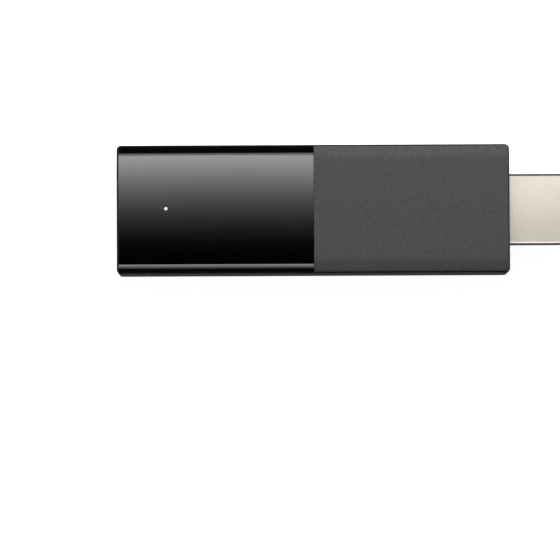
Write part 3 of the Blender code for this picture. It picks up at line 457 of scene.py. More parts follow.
# %% The grained half, with the tongue that reaches under the polished one
TONGUE_REACH = 1.5 * MM
TONGUE_WALL = 0.7 * MM
MATTE_SPAN = (SEAM_X + SEAM_LINE / 2, MATTE_HIGH.x)
matte = front_cover("cover_grained", MATTE_SPAN, (SEAM_RADIUS, END_RADIUS), GRAINED_EDGE, GRAINED_RADII)
tongue_half = SKIRT_INNER - FIT
tongue_foot_z = FACE_INNER_Z - FIT - TONGUE_WALL
tongue_end_x = MATTE_SPAN[0] + TONGUE_REACH
root_low = (MATTE_SPAN[0] + FIT, -tongue_half, tongue_foot_z)
tip_low = (MATTE_LOW.x, -tongue_half, tongue_foot_z)
join(matte, blocks("tongue_root", [(root_low, (tongue_end_x, tongue_half, FACE_Z - FIT))]))
join(matte, blocks("tongue_tip", [(tip_low, (tongue_end_x, tongue_half, FACE_INNER_Z - FIT))]))
hand_over(matte, "matte_grey", "front_cover_matte")

# %% [markdown]
# ## The tray behind them
# The back half of the case is one deep moulding. Its long walls lean in slightly, so that it would leave
# its mould, and its corners and its back edge are rounded. Rings of rounded rectangles go up the outside,
# over a thin lip and down the inside, which gives one closed skin with a true wall.

# %% The tray
DRAFT = 0.25 * MM
CORNER = 0.9 * MM
BACK_EDGE = 0.7 * MM
LEAST_CORNER = BACK_EDGE / 4
RIM_EDGE = 0.08 * MM
LIP_WALL = 0.15 * MM
LIP_RISE = 0.35 * MM
FLOOR_EDGE = 0.5 * MM
BACK_STEPS, RIM_STEPS, FLOOR_STEPS = 6, 3, 4
MIDDLE_X = (REAR_LOW.x + REAR_HIGH.x) / 2
REAR_HALF_LENGTH = (REAR_HIGH.x - REAR_LOW.x) / 2


def tray_ring(inset, z):
    """A rounded rectangle round the case, at one height."""
    half_x = REAR_HALF_LENGTH - inset
    half_y = REAR_HIGH.y - inset - DRAFT * (1 - z / REAR_HIGH.z)
    corners = [(-half_x, -half_y), (half_x, -half_y), (half_x, half_y), (-half_x, half_y)]
    outline = rounded(corners, max(CORNER - inset, LEAST_CORNER))
    return [(MIDDLE_X + point.x, point.y, z) for point in outline]


def quarter_turn(radius, steps):
    """How far in and how far up a rounded edge is, from the flat side to the upright one."""
    turns = [math.radians(90) * step / steps for step in range(steps + 1)]
    return [(radius * (1 - math.sin(a)), radius * (1 - math.cos(a))) for a in turns]


rings = [tray_ring(inset, up) for inset, up in quarter_turn(BACK_EDGE, BACK_STEPS)]
rim_turn = quarter_turn(RIM_EDGE, RIM_STEPS)
rings += [tray_ring(inset, REAR_HIGH.z - up) for inset, up in reversed(rim_turn)]
SHELF_Z = REAR_HIGH.z - LIP_RISE
rings += [tray_ring(LIP_WALL, REAR_HIGH.z), tray_ring(LIP_WALL, SHELF_Z)]
rings += [tray_ring(REAR_WALL - inset, SHELF_Z - up) for inset, up in rim_turn]
floor_turn = quarter_turn(FLOOR_EDGE, FLOOR_STEPS)
rings += [tray_ring(REAR_WALL + inset, REAR_WALL + up) for inset, up in reversed(floor_turn)]
tray = loft("rear_tray", rings)

# %% Its posts
POST_RADIUS = 1.4 * MM
POST_FOOT_RADIUS = POST_RADIUS * 1.3
POST_SIDES = 32
PIN_RADIUS = 0.7 * MM
PIN_RISE = 0.6 * MM
SOLDER_GAP = 0.1 * MM
TAIL_POSTS = 8.0 * MM
NOSE_POSTS = 11.0 * MM
POST_FROM_EDGE = 2.0 * MM
POST_Y = BOARD_HIGH.y - POST_FROM_EDGE
POST_XS = (REAR_LOW.x + TAIL_POSTS, REAR_HIGH.x - NOSE_POSTS)


def stepped_post(place_x, place_y, pinned):
    """A post for the board to rest on, with a cone at its foot and, where asked, a pin through the board."""
    top_z = BOARD_LOW.z - SOLDER_GAP
    profile = [(POST_FOOT_RADIUS, REAR_WALL / 2), (POST_RADIUS, REAR_WALL + FIT), (POST_RADIUS, top_z)]
    if pinned:
        pin_top_z = BOARD_HIGH.z + PIN_RISE
        profile += [(PIN_RADIUS, top_z), (PIN_RADIUS, pin_top_z - SOLDER_GAP), (PIN_RADIUS / 2, pin_top_z)]
    return loft("post", [circle(radius, (place_x, place_y, z), POST_SIDES) for radius, z in profile])


for post_x, pinned_side in zip(POST_XS, (1, -1)):
    for side in (-1, 1):
        join(tray, stepped_post(post_x, side * POST_Y, side == pinned_side))


# %% Its mouths for the plug and the socket, and the grooves for the snaps
def prism_along(name, corners, radius, start_x, end_x):
    """A connector's outline with its corners rounded, run along the stick."""
    outline = rounded(corners, radius)
    return loft(name, [[(x, point.x, BOARD_Z + point.y) for point in outline] for x in (start_x, end_x)])


PLUG_LOW, PLUG_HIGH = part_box("video_plug_shell")
SOCKET_LOW, SOCKET_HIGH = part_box("power_socket_shell")
PLUG_CUT = (1.5 * MM, 1.7 * MM)  # run and drop of its two cut corners
SOCKET_CUT = (1.0 * MM, 0.9 * MM)
PLUG_CORNER = 0.6 * MM
SOCKET_CORNER = 0.35 * MM
SOCKET_MOUTH_CORNER = 0.5 * MM
PLUG_MOUTH_GAP = 0.15 * MM
SOCKET_MOUTH_GAP = 0.25 * MM
GROOVE_GAP = 0.2 * MM
PLUG_SIZE = (PLUG_HIGH.y - PLUG_LOW.y, PLUG_HIGH.z - PLUG_LOW.z, *PLUG_CUT)
SOCKET_SIZE = (SOCKET_HIGH.y - SOCKET_LOW.y, SOCKET_HIGH.z - SOCKET_LOW.z, *SOCKET_CUT)
plug_mouth = inset_outline(connector_corners(*PLUG_SIZE), -PLUG_MOUTH_GAP)
socket_mouth = inset_outline(connector_corners(*SOCKET_SIZE), -SOCKET_MOUTH_GAP)
nose_wall = (REAR_HIGH.x - REAR_WALL - PAST, REAR_HIGH.x + PAST)
tail_wall = (REAR_LOW.x - PAST, REAR_LOW.x + REAR_WALL + PAST)
cut(tray, prism_along("plug_mouth", plug_mouth, PLUG_CORNER, *nose_wall))
cut(tray, prism_along("socket_mouth", socket_mouth, SOCKET_MOUTH_CORNER, *tail_wall))
for span in (GLOSS_SPAN, MATTE_SPAN):
    ends = max(span[0], SKIRT_SPAN[0]), min(span[1], SKIRT_SPAN[1])
    cut(tray, blocks("grooves", barb_spans(*ends, grow=GROOVE_GAP)))
hand_over(tray, "matte_grey", "rear_cover")

# %% [markdown]
# ## The status light
# The white dot is the end of a clear pin that carries light from the board up to the face. It is a turned
# shape: a stack of circles whose radius follows a stepped profile, with a slight dome where it meets the
# eye. Its faint glow is painted light, an emission in its white finish, with no lamp inside it.

# %% The light pipe
DOME = 0.06 * MM
DOME_STEPS = 6
FLANGE_RADIUS = (LIGHT_HIGH.x - LIGHT_LOW.x) / 2
FLANGE_WALL = 0.5 * MM
STEM_RADIUS = 0.75 * MM
flange_top_z = FACE_INNER_Z - FIT / 2
profile = [(STEM_RADIUS, LIGHT_LOW.z), (STEM_RADIUS, flange_top_z - FLANGE_WALL)]
profile += [(FLANGE_RADIUS, flange_top_z - FLANGE_WALL), (FLANGE_RADIUS, flange_top_z)]
profile += [(LIGHT_RADIUS, flange_top_z)]
for step in range(DOME_STEPS):
    share = step / DOME_STEPS
    profile.append((LIGHT_RADIUS * math.sqrt(1 - share ** 2), LIGHT_HIGH.z - DOME * (1 - share)))
pipe = loft("status_light_pipe", [circle(radius, (LIGHT_X, 0.0, z)) for radius, z in profile])
hand_over(pipe, "light_white", "light_pipe")

# %% [markdown]
# ## The metal shells of the plug and the socket
# Both are strips of thin sheet, folded round into a tube. The plug narrows a little towards its mouth so
# that it finds the way in, its lip is rolled, the two ends of the strip meet in a line on the back, and two
# windows there catch the socket's springs. A loft whose last ring joins its first makes such a wall in one
# go.


# %% A folded shell
LIP_STEPS = 8


def folded_shell(name, size, radius, sheet, tail_x, nose_x, mouth_at_nose, lead, lead_length):
    """A tube of thin sheet, closed on itself, that narrows by its lead towards the mouth."""
    corners = connector_corners(*size)
    lip = sheet / 2
    turns = [math.pi * step / LIP_STEPS for step in range(LIP_STEPS + 1)]
    rear_x, front_x = (tail_x, nose_x) if mouth_at_nose else (nose_x, tail_x)
    facing = 1 if mouth_at_nose else -1
    walls = [
        (rear_x, 0.0),
        (front_x - facing * lead_length, 0.0),
        (front_x - facing * lead_length / 2, lead / 4),
        (front_x - facing * lip, lead),
    ]
    rolled = [(front_x - facing * lip * (1 - math.sin(a)), lead + lip - lip * math.cos(a)) for a in turns]
    inner = [(x, inset + sheet) for x, inset in reversed(walls)]
    rings = []
    for x, inset in walls + rolled[1:-1] + inner:
        outline = rounded(inset_outline(corners, inset), max(radius - inset, sheet / 4))
        rings.append([(x, point.x, BOARD_Z + point.y) for point in outline])
    return loft(name, rings, closed=True)


# %% The video plug
PLUG_SHEET = 0.3 * MM
WINDOW = (2.4 * MM, 1.5 * MM)
WINDOW_FROM_TIP = 5.2 * MM
WINDOW_APART = 7.6 * MM
WINDOW_EDGE = 0.2 * MM
FOLD_LINE = Vector((0.07, 0.12)) * MM  # width and depth
PLUG_LEAD = (0.1 * MM, 1.0 * MM)  # how far in it narrows, and over what length
plug = folded_shell("plug_shell", PLUG_SIZE, PLUG_CORNER, PLUG_SHEET, PLUG_LOW.x, PLUG_HIGH.x, True,
                    *PLUG_LEAD)
windows = []
for side in (-1, 1):
    middle_x, middle_y = PLUG_HIGH.x - WINDOW_FROM_TIP, side * WINDOW_APART / 2
    low = (middle_x - WINDOW[0] / 2, middle_y - WINDOW[1] / 2, PLUG_LOW.z - PAST)
    windows.append((low, (middle_x + WINDOW[0] / 2, middle_y + WINDOW[1] / 2, PLUG_LOW.z + 2 * PLUG_SHEET)))
cut(plug, blocks("windows", windows, radius=WINDOW_EDGE))
fold_low = (PLUG_LOW.x - PAST, -FOLD_LINE.x / 2, PLUG_LOW.z - PAST)
fold_high = (PLUG_HIGH.x - PLUG_SHEET, FOLD_LINE.x / 2, PLUG_LOW.z + FOLD_LINE.y)
cut(plug, blocks("fold_line", [(fold_low, fold_high)]))
hand_over(plug, "plug_steel", "video_plug_shell")

# %% The power socket
SOCKET_SHEET = 0.25 * MM
SOCKET_LEAD = (0.02 * MM, 0.6 * MM)
socket = folded_shell("socket_shell", SOCKET_SIZE, SOCKET_CORNER, SOCKET_SHEET, SOCKET_LOW.x, SOCKET_HIGH.x,
                      False, *SOCKET_LEAD)
hand_over(socket, "tinned_sheet", "power_socket_shell")

# %% [markdown]
# ## Contacts, with Geometry Nodes
# A connector's contacts are one stamped shape, repeated at a fixed pitch. The tree takes the contact's path
# as a line of edges, rounds its bends, sweeps a flat strip along it and stands a copy at each place in the
# row. Change the count or the pitch and the whole row follows.


# %% Building and running a tree
def new_tree(name, sockets):
    """A Geometry Nodes tree with a geometry in, named inputs and a geometry out."""
    tree = bpy.data.node_groups.new(name, "GeometryNodeTree")
    tree.interface.new_socket("Geometry", in_out="INPUT", socket_type="NodeSocketGeometry")
    for label, kind in sockets.items():
        tree.interface.new_socket(label, in_out="INPUT", socket_type="NodeSocket" + kind)
    tree.interface.new_socket("Geometry", in_out="OUTPUT", socket_type="NodeSocketGeometry")
    return tree, tree.nodes.new("NodeGroupInput").outputs


def end_tree(tree, instances, material):
    """The end of every tree: real geometry instead of instances, and its material."""
    real = add_node(tree, "GeometryNodeRealizeInstances", {"Geometry": instances}).outputs["Geometry"]
    painted = add_node(tree, "GeometryNodeSetMaterial", {"Geometry": real, "Material": material})
    add_node(tree, "NodeGroupOutput", {"Geometry": painted.outputs["Geometry"]})


def run_tree(name, mesh, tree, values):
    """Runs a tree over a mesh, and keeps what it makes as a plain mesh."""
    piece = bpy.data.objects.new(name, mesh)
    bpy.context.scene.collection.objects.link(piece)
    modifier = piece.modifiers.new(tree.name, "NODES")
    modifier.node_group = tree
    for item in tree.interface.items_tree:
        if item.in_out == "INPUT" and item.name in values:
            modifier[item.identifier] = values[item.name]
    return settle(piece)


def line_mesh(points):
    """Edges through a list of points."""
    mesh = bpy.data.meshes.new("line")
    mesh.from_pydata(points, [(index, index + 1) for index in range(len(points) - 1)], [])
    return mesh


# %% The tree for a row of contacts
BEND_STEPS = 4
ROW, given = new_tree("contact row", {"Count": "Int", "Pitch": "Float", "Width": "Float", "Sheet": "Float",
                                      "Bend": "Float", "Material": "Material"})
path = add_node(ROW, "GeometryNodeMeshToCurve", {"Mesh": given["Geometry"]}).outputs["Curve"]
bends = {"Curve": path, "Radius": given["Bend"], "Count": BEND_STEPS, "Limit Radius": True}
path = add_node(ROW, "GeometryNodeFilletCurve", bends, mode="POLY").outputs["Curve"]
strip = {"Width": given["Width"], "Height": given["Sheet"]}
strip = add_node(ROW, "GeometryNodeCurvePrimitiveQuadrilateral", strip).outputs["Curve"]
sweep = {"Curve": path, "Profile Curve": strip, "Fill Caps": True}
contact = add_node(ROW, "GeometryNodeCurveToMesh", sweep).outputs["Mesh"]
gaps = add_node(ROW, "ShaderNodeMath", {0: given["Count"], 1: 1.0}, operation="SUBTRACT").outputs[0]
reach = add_node(ROW, "ShaderNodeMath", {0: gaps, 1: given["Pitch"]}, operation="MULTIPLY").outputs[0]
first = add_node(ROW, "ShaderNodeMath", {0: reach, 1: -0.5}, operation="MULTIPLY").outputs[0]
step = add_node(ROW, "ShaderNodeCombineXYZ", {"Y": given["Pitch"]}).outputs["Vector"]
first = add_node(ROW, "ShaderNodeCombineXYZ", {"Y": first}).outputs["Vector"]
places = {"Count": given["Count"], "Start Location": first, "Offset": step}
places = add_node(ROW, "GeometryNodeMeshLine", places).outputs["Mesh"]
copies = add_node(ROW, "GeometryNodeInstanceOnPoints", {"Points": places, "Instance": contact})
end_tree(ROW, copies.outputs["Instances"], given["Material"])


def merged(name, pieces):
    """Several meshes as one piece; the parts stay apart inside it."""
    form = bmesh.new()
    for piece in pieces:
        form.from_mesh(piece.data)
        bpy.data.objects.remove(piece, do_unlink=True)
    bmesh.ops.remove_doubles(form, verts=form.verts, dist=WELD)
    return keep(form, name)


# %% The plug's nineteen contacts
UPPER_COUNT, LOWER_COUNT = 10, 9
CONTACT_PITCH = 1.0 * MM
CONTACT_WIDTH = 0.34 * MM
CONTACT_BEND = 0.15 * MM
CONTACT_SHEET = 0.2 * MM
SPRING_RISE = 0.8 * MM
SPRING_FLAT = 0.6 * MM
SPRING_FALL = 1.5 * MM
TONGUE_HALF_HEIGHT = 0.975 * MM
video_low, video_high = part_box("video_contact_01")
blade_z = video_high.z - CONTACT_SHEET / 2 - BOARD_Z
tail_z = video_low.z + CONTACT_SHEET / 2 - BOARD_Z
dip_z = TONGUE_HALF_HEIGHT - CONTACT_SHEET / 2
dip_start_x = video_high.x - SPRING_RISE
dip_end_x = dip_start_x - SPRING_FLAT
bend_x = PLUG_LOW.x - FIT - CONTACT_SHEET
contact_path = [
    (video_high.x, blade_z),
    (dip_start_x, dip_z),
    (dip_end_x, dip_z),
    (dip_end_x - SPRING_FALL, blade_z),
    (bend_x, blade_z),
    (bend_x - (blade_z - tail_z), tail_z),
    (video_low.x, tail_z),
]
rows = []
for side, count in ((1, UPPER_COUNT), (-1, LOWER_COUNT)):
    line = line_mesh([(x, 0.0, BOARD_Z + side * up) for x, up in contact_path])
    values = {"Count": count, "Pitch": CONTACT_PITCH, "Width": CONTACT_WIDTH, "Sheet": CONTACT_SHEET,
              "Bend": CONTACT_BEND, "Material": FINISHES["gold_plate"]}
    rows.append(run_tree(f"contact_row_{count}", line, ROW, values))
video_contacts = merged("video_contacts", rows)
video_nodes = [f"video_contact_{number:02d}" for number in range(1, UPPER_COUNT + LOWER_COUNT + 1)]
hand_over(video_contacts, "gold_plate", *video_nodes)

# %% The socket's five contacts
POWER_COUNT = 5
POWER_PITCH = 0.65 * MM
POWER_WIDTH = 0.25 * MM
POWER_BEND = 0.08 * MM
POWER_SHEET = 0.12 * MM
power_low, power_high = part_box("power_contact_1")
rise_x = SOCKET_HIGH.x + FIT / 2
power_path = [
    (power_low.x, 0.0, power_low.z + POWER_SHEET / 2),
    (rise_x, 0.0, power_low.z + POWER_SHEET / 2),
    (rise_x, 0.0, power_high.z - POWER_SHEET / 2),
    (power_high.x, 0.0, power_high.z - POWER_SHEET / 2),
]
values = {"Count": POWER_COUNT, "Pitch": POWER_PITCH, "Width": POWER_WIDTH, "Sheet": POWER_SHEET,
          "Bend": POWER_BEND, "Material": FINISHES["gold_plate"]}
power_contacts = merged("power_contacts", [run_tree("power_row", line_mesh(power_path), ROW, values)])
hand_over(power_contacts, "gold_plate", *[f"power_contact_{number}" for number in range(1, POWER_COUNT + 1)])

# %% [markdown]
# ## The pierced lid of the shield
# The lid over the processor is pierced all over, so that heat leaves and radio noise stays. The tree lays a
# grid of short rods over the lid and cuts them all out in one Boolean.

# %% The tree for the lid
HOLE_SIDES = 16
lid_inputs = {"Columns": "Int", "Rows": "Int", "Pitch": "Float", "Radius": "Float", "Height": "Float",
              "Middle": "Vector", "Material": "Material"}
PIERCED, given = new_tree("pierced lid", lid_inputs)


def grid_reach(count):
    """The length of a row of holes, from the first middle to the last."""
    gaps = add_node(PIERCED, "ShaderNodeMath", {0: count, 1: 1.0}, operation="SUBTRACT").outputs[0]
    return add_node(PIERCED, "ShaderNodeMath", {0: gaps, 1: given["Pitch"]}, operation="MULTIPLY").outputs[0]


grid = {"Size X": grid_reach(given["Columns"]), "Size Y": grid_reach(given["Rows"]),
        "Vertices X": given["Columns"], "Vertices Y": given["Rows"]}
grid = add_node(PIERCED, "GeometryNodeMeshGrid", grid).outputs["Mesh"]
moved = {"Geometry": grid, "Translation": given["Middle"]}
grid = add_node(PIERCED, "GeometryNodeTransform", moved).outputs["Geometry"]
punch = {"Vertices": HOLE_SIDES, "Radius": given["Radius"], "Depth": given["Height"]}
punch = add_node(PIERCED, "GeometryNodeMeshCylinder", punch).outputs["Mesh"]
punches = add_node(PIERCED, "GeometryNodeInstanceOnPoints", {"Points": grid, "Instance": punch})
punches = add_node(PIERCED, "GeometryNodeRealizeInstances", {"Geometry": punches.outputs["Instances"]})
both = {"Mesh 1": given["Geometry"], "Mesh 2": punches.outputs["Geometry"]}
sheet = add_node(PIERCED, "GeometryNodeMeshBoolean", both, operation="DIFFERENCE").outputs["Mesh"]
end_tree(PIERCED, sheet, given["Material"])

# %% The lid
LID_LOW, LID_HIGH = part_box("shield_lid")
LID_SHEET = 0.2 * MM
LID_EDGE = 0.15 * MM
HOLE_PITCH = 2.2 * MM
HOLE_RADIUS = 0.5 * MM
lid = blocks("lid", [(LID_LOW, LID_HIGH)], radius=LID_EDGE)
inside_low = (LID_LOW.x + LID_SHEET, LID_LOW.y + LID_SHEET, LID_LOW.z - PAST)
inside_high = (-inside_low[0] + LID_LOW.x + LID_HIGH.x, -inside_low[1], LID_HIGH.z - LID_SHEET)
cut(lid, blocks("lid_inside", [(inside_low, inside_high)]))
columns = int((LID_HIGH.x - LID_LOW.x) / HOLE_PITCH) - 1
holes = {"Columns": columns, "Rows": int((LID_HIGH.y - LID_LOW.y) / HOLE_PITCH) - 1, "Pitch": HOLE_PITCH,
         "Radius": HOLE_RADIUS, "Height": 2 * LID_SHEET, "Material": FINISHES["tinned_sheet"],
         "Middle": ((LID_LOW.x + LID_HIGH.x) / 2, 0.0, LID_HIGH.z - LID_SHEET / 2)}
pierced = run_tree("pierced_lid", lid.data, PIERCED, holes)
bpy.data.objects.remove(lid, do_unlink=True)
pierced = merged("shield_lid_pierced", [pierced])
hand_over(pierced, "tinned_sheet", "shield_lid")

# %% [markdown]
# ## The small parts on the board
# A board carries dozens of resistors and capacitors no longer than a grain of rice. They are scattered over
# the free patches of the board by the tree, never closer than a set distance and always square to the
# edges. The seed is fixed, so the board comes out the same each time.

# %% The tree for small parts
MOST_DENSE = 1e6
BODY_SHARES = (0.86, 1.0, 1.0)  # of a part's size; the two caps are a little thicker than the body
CAP_SHARES = (0.2, 1.06, 1.06)
CAP_PLACE = 0.4
part_inputs = {"Distance": "Float", "Seed": "Int", "Size": "Vector", "Turn": "Vector", "Material": "Material"}
SCATTER, given = new_tree("small parts", part_inputs)
spread = {"Mesh": given["Geometry"], "Distance Min": given["Distance"], "Density Max": MOST_DENSE,
          "Seed": given["Seed"]}
spread = add_node(SCATTER, "GeometryNodeDistributePointsOnFaces", spread, distribute_method="POISSON")
shorter = {0: given["Size"], 1: BODY_SHARES}
shorter = add_node(SCATTER, "ShaderNodeVectorMath", shorter, operation="MULTIPLY").outputs["Vector"]
body = add_node(SCATTER, "GeometryNodeMeshCube", {"Size": shorter}).outputs["Mesh"]
smaller = {0: given["Size"], 1: CAP_SHARES}
cap_size = add_node(SCATTER, "ShaderNodeVectorMath", smaller, operation="MULTIPLY").outputs["Vector"]
cap = add_node(SCATTER, "GeometryNodeMeshCube", {"Size": cap_size}).outputs["Mesh"]
ends = []
for side in (-1, 1):
    shift = {0: given["Size"], 1: (side * CAP_PLACE, 0.0, 0.0)}
    shift = add_node(SCATTER, "ShaderNodeVectorMath", shift, operation="MULTIPLY").outputs["Vector"]
    moved = {"Geometry": cap, "Translation": shift}
    ends.append(add_node(SCATTER, "GeometryNodeTransform", moved).outputs["Geometry"])
whole = add_node(SCATTER, "GeometryNodeJoinGeometry")
for mesh in (body, *ends):
    SCATTER.links.new(mesh, whole.inputs["Geometry"])
turns = add_node(SCATTER, "FunctionNodeRandomValue", {4: 0, 5: 1, "Seed": given["Seed"]}, data_type="INT")
turned = {0: given["Turn"], 1: turns.outputs[2]}
turned = add_node(SCATTER, "ShaderNodeVectorMath", turned, operation="MULTIPLY").outputs["Vector"]
stood = {"Points": spread.outputs["Points"], "Instance": whole.outputs["Geometry"], "Rotation": turned}
parts = add_node(SCATTER, "GeometryNodeInstanceOnPoints", stood).outputs["Instances"]
end_tree(SCATTER, parts, given["Material"])


# %% Scattering them over the free patches
def patches(spans, z):
    """Flat rectangles on the board, each given as (low x, high x, low y, high y)."""
    mesh = bpy.data.meshes.new("patches")
    points, faces = [], []
    for low_x, high_x, low_y, high_y in spans:
        faces.append([len(points) + index for index in range(4)])
        points += [(low_x, low_y, z), (high_x, low_y, z), (high_x, high_y, z), (low_x, high_y, z)]
    mesh.from_pydata(points, [], faces)
    return mesh


CLEAR = 0.8 * MM
PART_SIZE = Vector((1.0, 0.5, 0.4)) * MM
PART_APART = 1.7 * MM
FRONT_SEED, BACK_SEED = 7, 11
led_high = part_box("status_led")[1]
shield_low, shield_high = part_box("shield_lid")
radio_low, radio_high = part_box("radio_module")
coil_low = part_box("coil_1")[0]
edge_y = BOARD_HIGH.y - 2 * CLEAR
front_patches = [
    (led_high.x + CLEAR, shield_low.x - CLEAR, -edge_y + CLEAR, edge_y - CLEAR),
    (shield_high.x + CLEAR, POST_XS[1] + POST_RADIUS, -POST_Y + POST_RADIUS + CLEAR, edge_y),
]
back_patches = []
for side in (-1, 1):
    low_y, high_y = sorted((side * (radio_high.y + CLEAR), side * edge_y))
    back_patches.append((radio_low.x, coil_low.x - CLEAR, low_y, high_y))
stand = SOLDER_GAP / 2 + PART_SIZE.z / 2
sides = []
layers = (
    (FRONT_SEED, front_patches, BOARD_HIGH.z + stand),
    (BACK_SEED, back_patches, BOARD_LOW.z - stand),
)
for seed, spans, z in layers:
    values = {"Distance": PART_APART, "Seed": seed, "Size": PART_SIZE, "Turn": (0.0, 0.0, math.radians(90)),
              "Material": FINISHES["ceramic"]}
    sides.append(run_tree(f"parts_{seed}", patches(spans, z), SCATTER, values))
small_parts = merged("small_parts", sides)
hand_over(small_parts, "ceramic")

# %% [markdown]
# ## The floor and the camera
# The stick lies on its flat back on a pale floor, and the camera looks almost straight down on it from a
# distance, through a long lens, so that near and far edges stay parallel. It stands a few degrees towards
# the lower long side, which is why a strip of the tray shows there and none at the upper side.

# %% The floor
FLOOR_HALF = 1.5
FLOOR_SQUARES = 8
FLOOR_DROP = 0.02 * MM
floor_form = bmesh.new()
bmesh.ops.create_grid(floor_form, x_segments=FLOOR_SQUARES, y_segments=FLOOR_SQUARES, size=FLOOR_HALF)
floor = keep(floor_form, "studio_floor")
for face in floor.data.polygons:
    if face.normal.z < 0.0:
        face.flip()
floor.location.z = -FLOOR_DROP
floor.visible_glossy = False
floor.data.materials.append(finish_of("pale_floor", (0.85, 0.85, 0.85), 0.9, mottle=0.01, patch=30.0 * MM,
                                      grain=2.0 * MM, depth=0.01 * MM, glow=1.0))

# %% The camera
LENS = 300.0
SENSOR = 36.0
NEAREST = 0.01
FRAME_WIDTH = 109.15 * MM
TILT = math.radians(4.0)
ROLL = math.radians(-0.26)
AIM = Vector((-12.54, -14.02, 12.7)) * MM
distance = FRAME_WIDTH * LENS / SENSOR
camera_data = bpy.data.cameras.new("camera")
camera_data.lens = LENS
camera_data.sensor_width = SENSOR
camera_data.clip_start = NEAREST
camera = bpy.data.objects.new("camera", camera_data)
bpy.context.scene.collection.objects.link(camera)
turn = Matrix.Rotation(TILT, 4, "X") @ Matrix.Rotation(ROLL, 4, "Z")
camera.matrix_world = Matrix.Translation(AIM) @ turn @ Matrix.Translation((0.0, 0.0, distance))
bpy.context.scene.camera = camera
print("the camera stands", round(distance, 3), "m away")

# %% [markdown]
# ## The light
# Two large soft lamps do the lighting: a strong one on the upper side, and a faint one opposite that opens
# the shadows. Polished plastic shows neither of them: what it shows is what stands round it, mirrored. So a
# photographer hangs a curved reflector over a glossy product, lit in bands from pale to black, and the face
# mirrors them. Here it is an arched sheet whose brightness is an attribute of its points. Only reflections
# see it, so it casts no shadow.

# %% The lamps
LAMP_DISTANCE = 0.8
LAMP_ANGLE = math.radians(56)
LAMP_SIZE = 0.5
LAMP_POWER = 11.5
FILL_ANGLE = math.radians(-72)
FILL_POWER = 0.5


def soft_lamp(name, angle, power):
    """A square lamp that faces the stick, at an angle from straight up towards the upper long side."""
    data = bpy.data.lights.new(name, "AREA")
    data.shape = "SQUARE"
    data.size = LAMP_SIZE
    data.energy = power
    lamp = bpy.data.objects.new(name, data)
    bpy.context.scene.collection.objects.link(lamp)
    lamp.matrix_world = Matrix.Rotation(-angle, 4, "X") @ Matrix.Translation((0.0, 0.0, LAMP_DISTANCE))
    lamp.visible_glossy = False
    print(name, "gives", power, "W")


soft_lamp("key_lamp", LAMP_ANGLE, LAMP_POWER)
soft_lamp("fill_lamp", FILL_ANGLE, FILL_POWER)

# %% The arched reflector
ARCH_RADIUS = 0.45
ARCH_HALF_WIDTH = 0.3
FRONT_PEAK = 9.0
FRONT_FADE = 3
FRONT_SPAN = (-1.2, 10.9)
UPPER_LEVEL = 2.4
UPPER_END = 34.0
SIDE_PEAK = 6.6
SIDE_SPAN = (-22.0, -27.0, -75.0)
SIDE_FADE = 1.8


def arch_glow(angle):
    """How bright the reflector is at an angle from straight up, in degrees towards the upper long side."""
    start, end = FRONT_SPAN
    if start <= angle <= end:
        return FRONT_PEAK * ((angle - start) / (end - start)) ** FRONT_FADE
    if end < angle <= UPPER_END:
        return UPPER_LEVEL
    rise, peak, dark = SIDE_SPAN
    if peak < angle <= rise:
        return SIDE_PEAK * (rise - angle) / (rise - peak)
    if dark <= angle <= peak:
        return SIDE_PEAK * ((angle - dark) / (peak - dark)) ** SIDE_FADE
    return 0.0


ARCH_STEP = 0.25
arch_mesh = bpy.data.meshes.new("reflector")
strips = int((UPPER_END - SIDE_SPAN[-1]) / ARCH_STEP) + 2
angles = [UPPER_END + ARCH_STEP / 2 - ARCH_STEP * index for index in range(strips)]
points = []
for angle in angles:
    y, z = ARCH_RADIUS * math.sin(math.radians(angle)), ARCH_RADIUS * math.cos(math.radians(angle))
    points += [(-ARCH_HALF_WIDTH, y, z), (ARCH_HALF_WIDTH, y, z)]
quads = [(index, index + 1, index + 3, index + 2) for index in range(0, len(points) - 2, 2)]
arch_mesh.from_pydata(points, [], quads)
glow = arch_mesh.attributes.new("glow", "FLOAT", "POINT")
for index, angle in enumerate(angles):
    glow.data[2 * index].value = glow.data[2 * index + 1].value = arch_glow(angle)
arch_material = bpy.data.materials.new("reflector")
arch_material.use_nodes = True
arch_tree = arch_material.node_tree
arch_tree.nodes.remove(arch_tree.nodes["Principled BSDF"])
level = add_node(arch_tree, "ShaderNodeAttribute", attribute_name="glow").outputs["Fac"]
shine = add_node(arch_tree, "ShaderNodeEmission", {"Strength": level}).outputs["Emission"]
arch_tree.links.new(shine, arch_tree.nodes["Material Output"].inputs["Surface"])
arch_mesh.materials.append(arch_material)
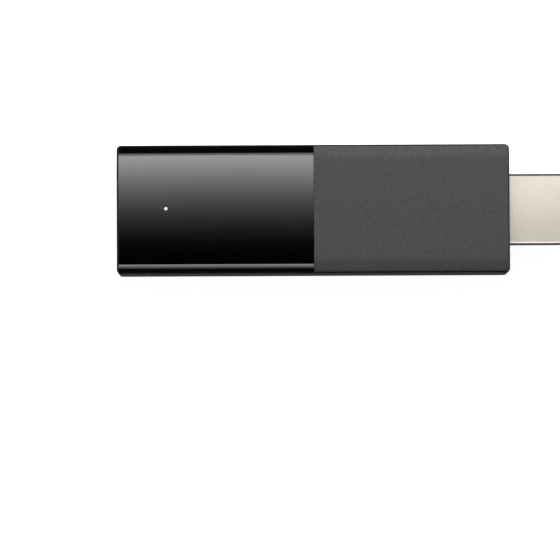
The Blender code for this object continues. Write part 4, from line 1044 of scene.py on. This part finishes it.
arch = bpy.data.objects.new("reflector", arch_mesh)
bpy.context.scene.collection.objects.link(arch)
for kind in ("camera", "diffuse", "transmission", "volume_scatter", "shadow"):
    setattr(arch, "visible_" + kind, False)
print("the reflector has", len(quads), "strips")

# %% [markdown]
# ## The room
# The room is pale to the eye and gives a soft fill. Mirrored, it is dark all round, like a studio hung with
# black cloth, so that the polished face can go black. Only past the two ends of the stick are its walls
# paler.

# %% The world
FILL = 0.16
MIRRORED_LOW = 0.03
MIRRORED_HIGH = 0.02
MIRRORED_WALLS = 0.3
WALL_SPAN = (0.25, 0.7)  # how far a direction points towards an end, where the pale starts and is full
HIGH_FROM = 0.35
world = bpy.data.worlds.new("studio")
bpy.context.scene.world = world
world.use_nodes = True
room = world.node_tree
ray = add_node(room, "ShaderNodeLightPath").outputs
heading = add_node(room, "ShaderNodeTexCoord").outputs["Generated"]
heading = add_node(room, "ShaderNodeSeparateXYZ", {"Vector": heading}).outputs
sideways = add_node(room, "ShaderNodeMath", {0: heading["X"]}, operation="ABSOLUTE").outputs[0]
walls = {"Value": sideways, 1: WALL_SPAN[0], 2: WALL_SPAN[1], 3: 0.0, 4: MIRRORED_WALLS}
walls = add_node(room, "ShaderNodeMapRange", walls).outputs["Result"]
mirrored = {"Value": heading["Z"], 1: 0.0, 2: HIGH_FROM, 3: MIRRORED_LOW, 4: MIRRORED_HIGH}
mirrored = add_node(room, "ShaderNodeMapRange", mirrored).outputs["Result"]
mirrored = add_node(room, "ShaderNodeMath", {0: mirrored, 1: walls}, operation="ADD").outputs[0]
seen = add_node(room, "ShaderNodeMix", {"Factor": ray["Is Glossy Ray"], 2: FILL, 3: mirrored}).outputs[0]
seen = add_node(room, "ShaderNodeMix", {"Factor": ray["Is Camera Ray"], 2: seen, 3: 1.0}).outputs[0]
room.links.new(seen, room.nodes["Background"].inputs["Strength"])
room.nodes["Background"].inputs["Color"].default_value = (1.0, 1.0, 1.0, 1.0)
bpy.context.scene.view_settings.view_transform = "Standard"
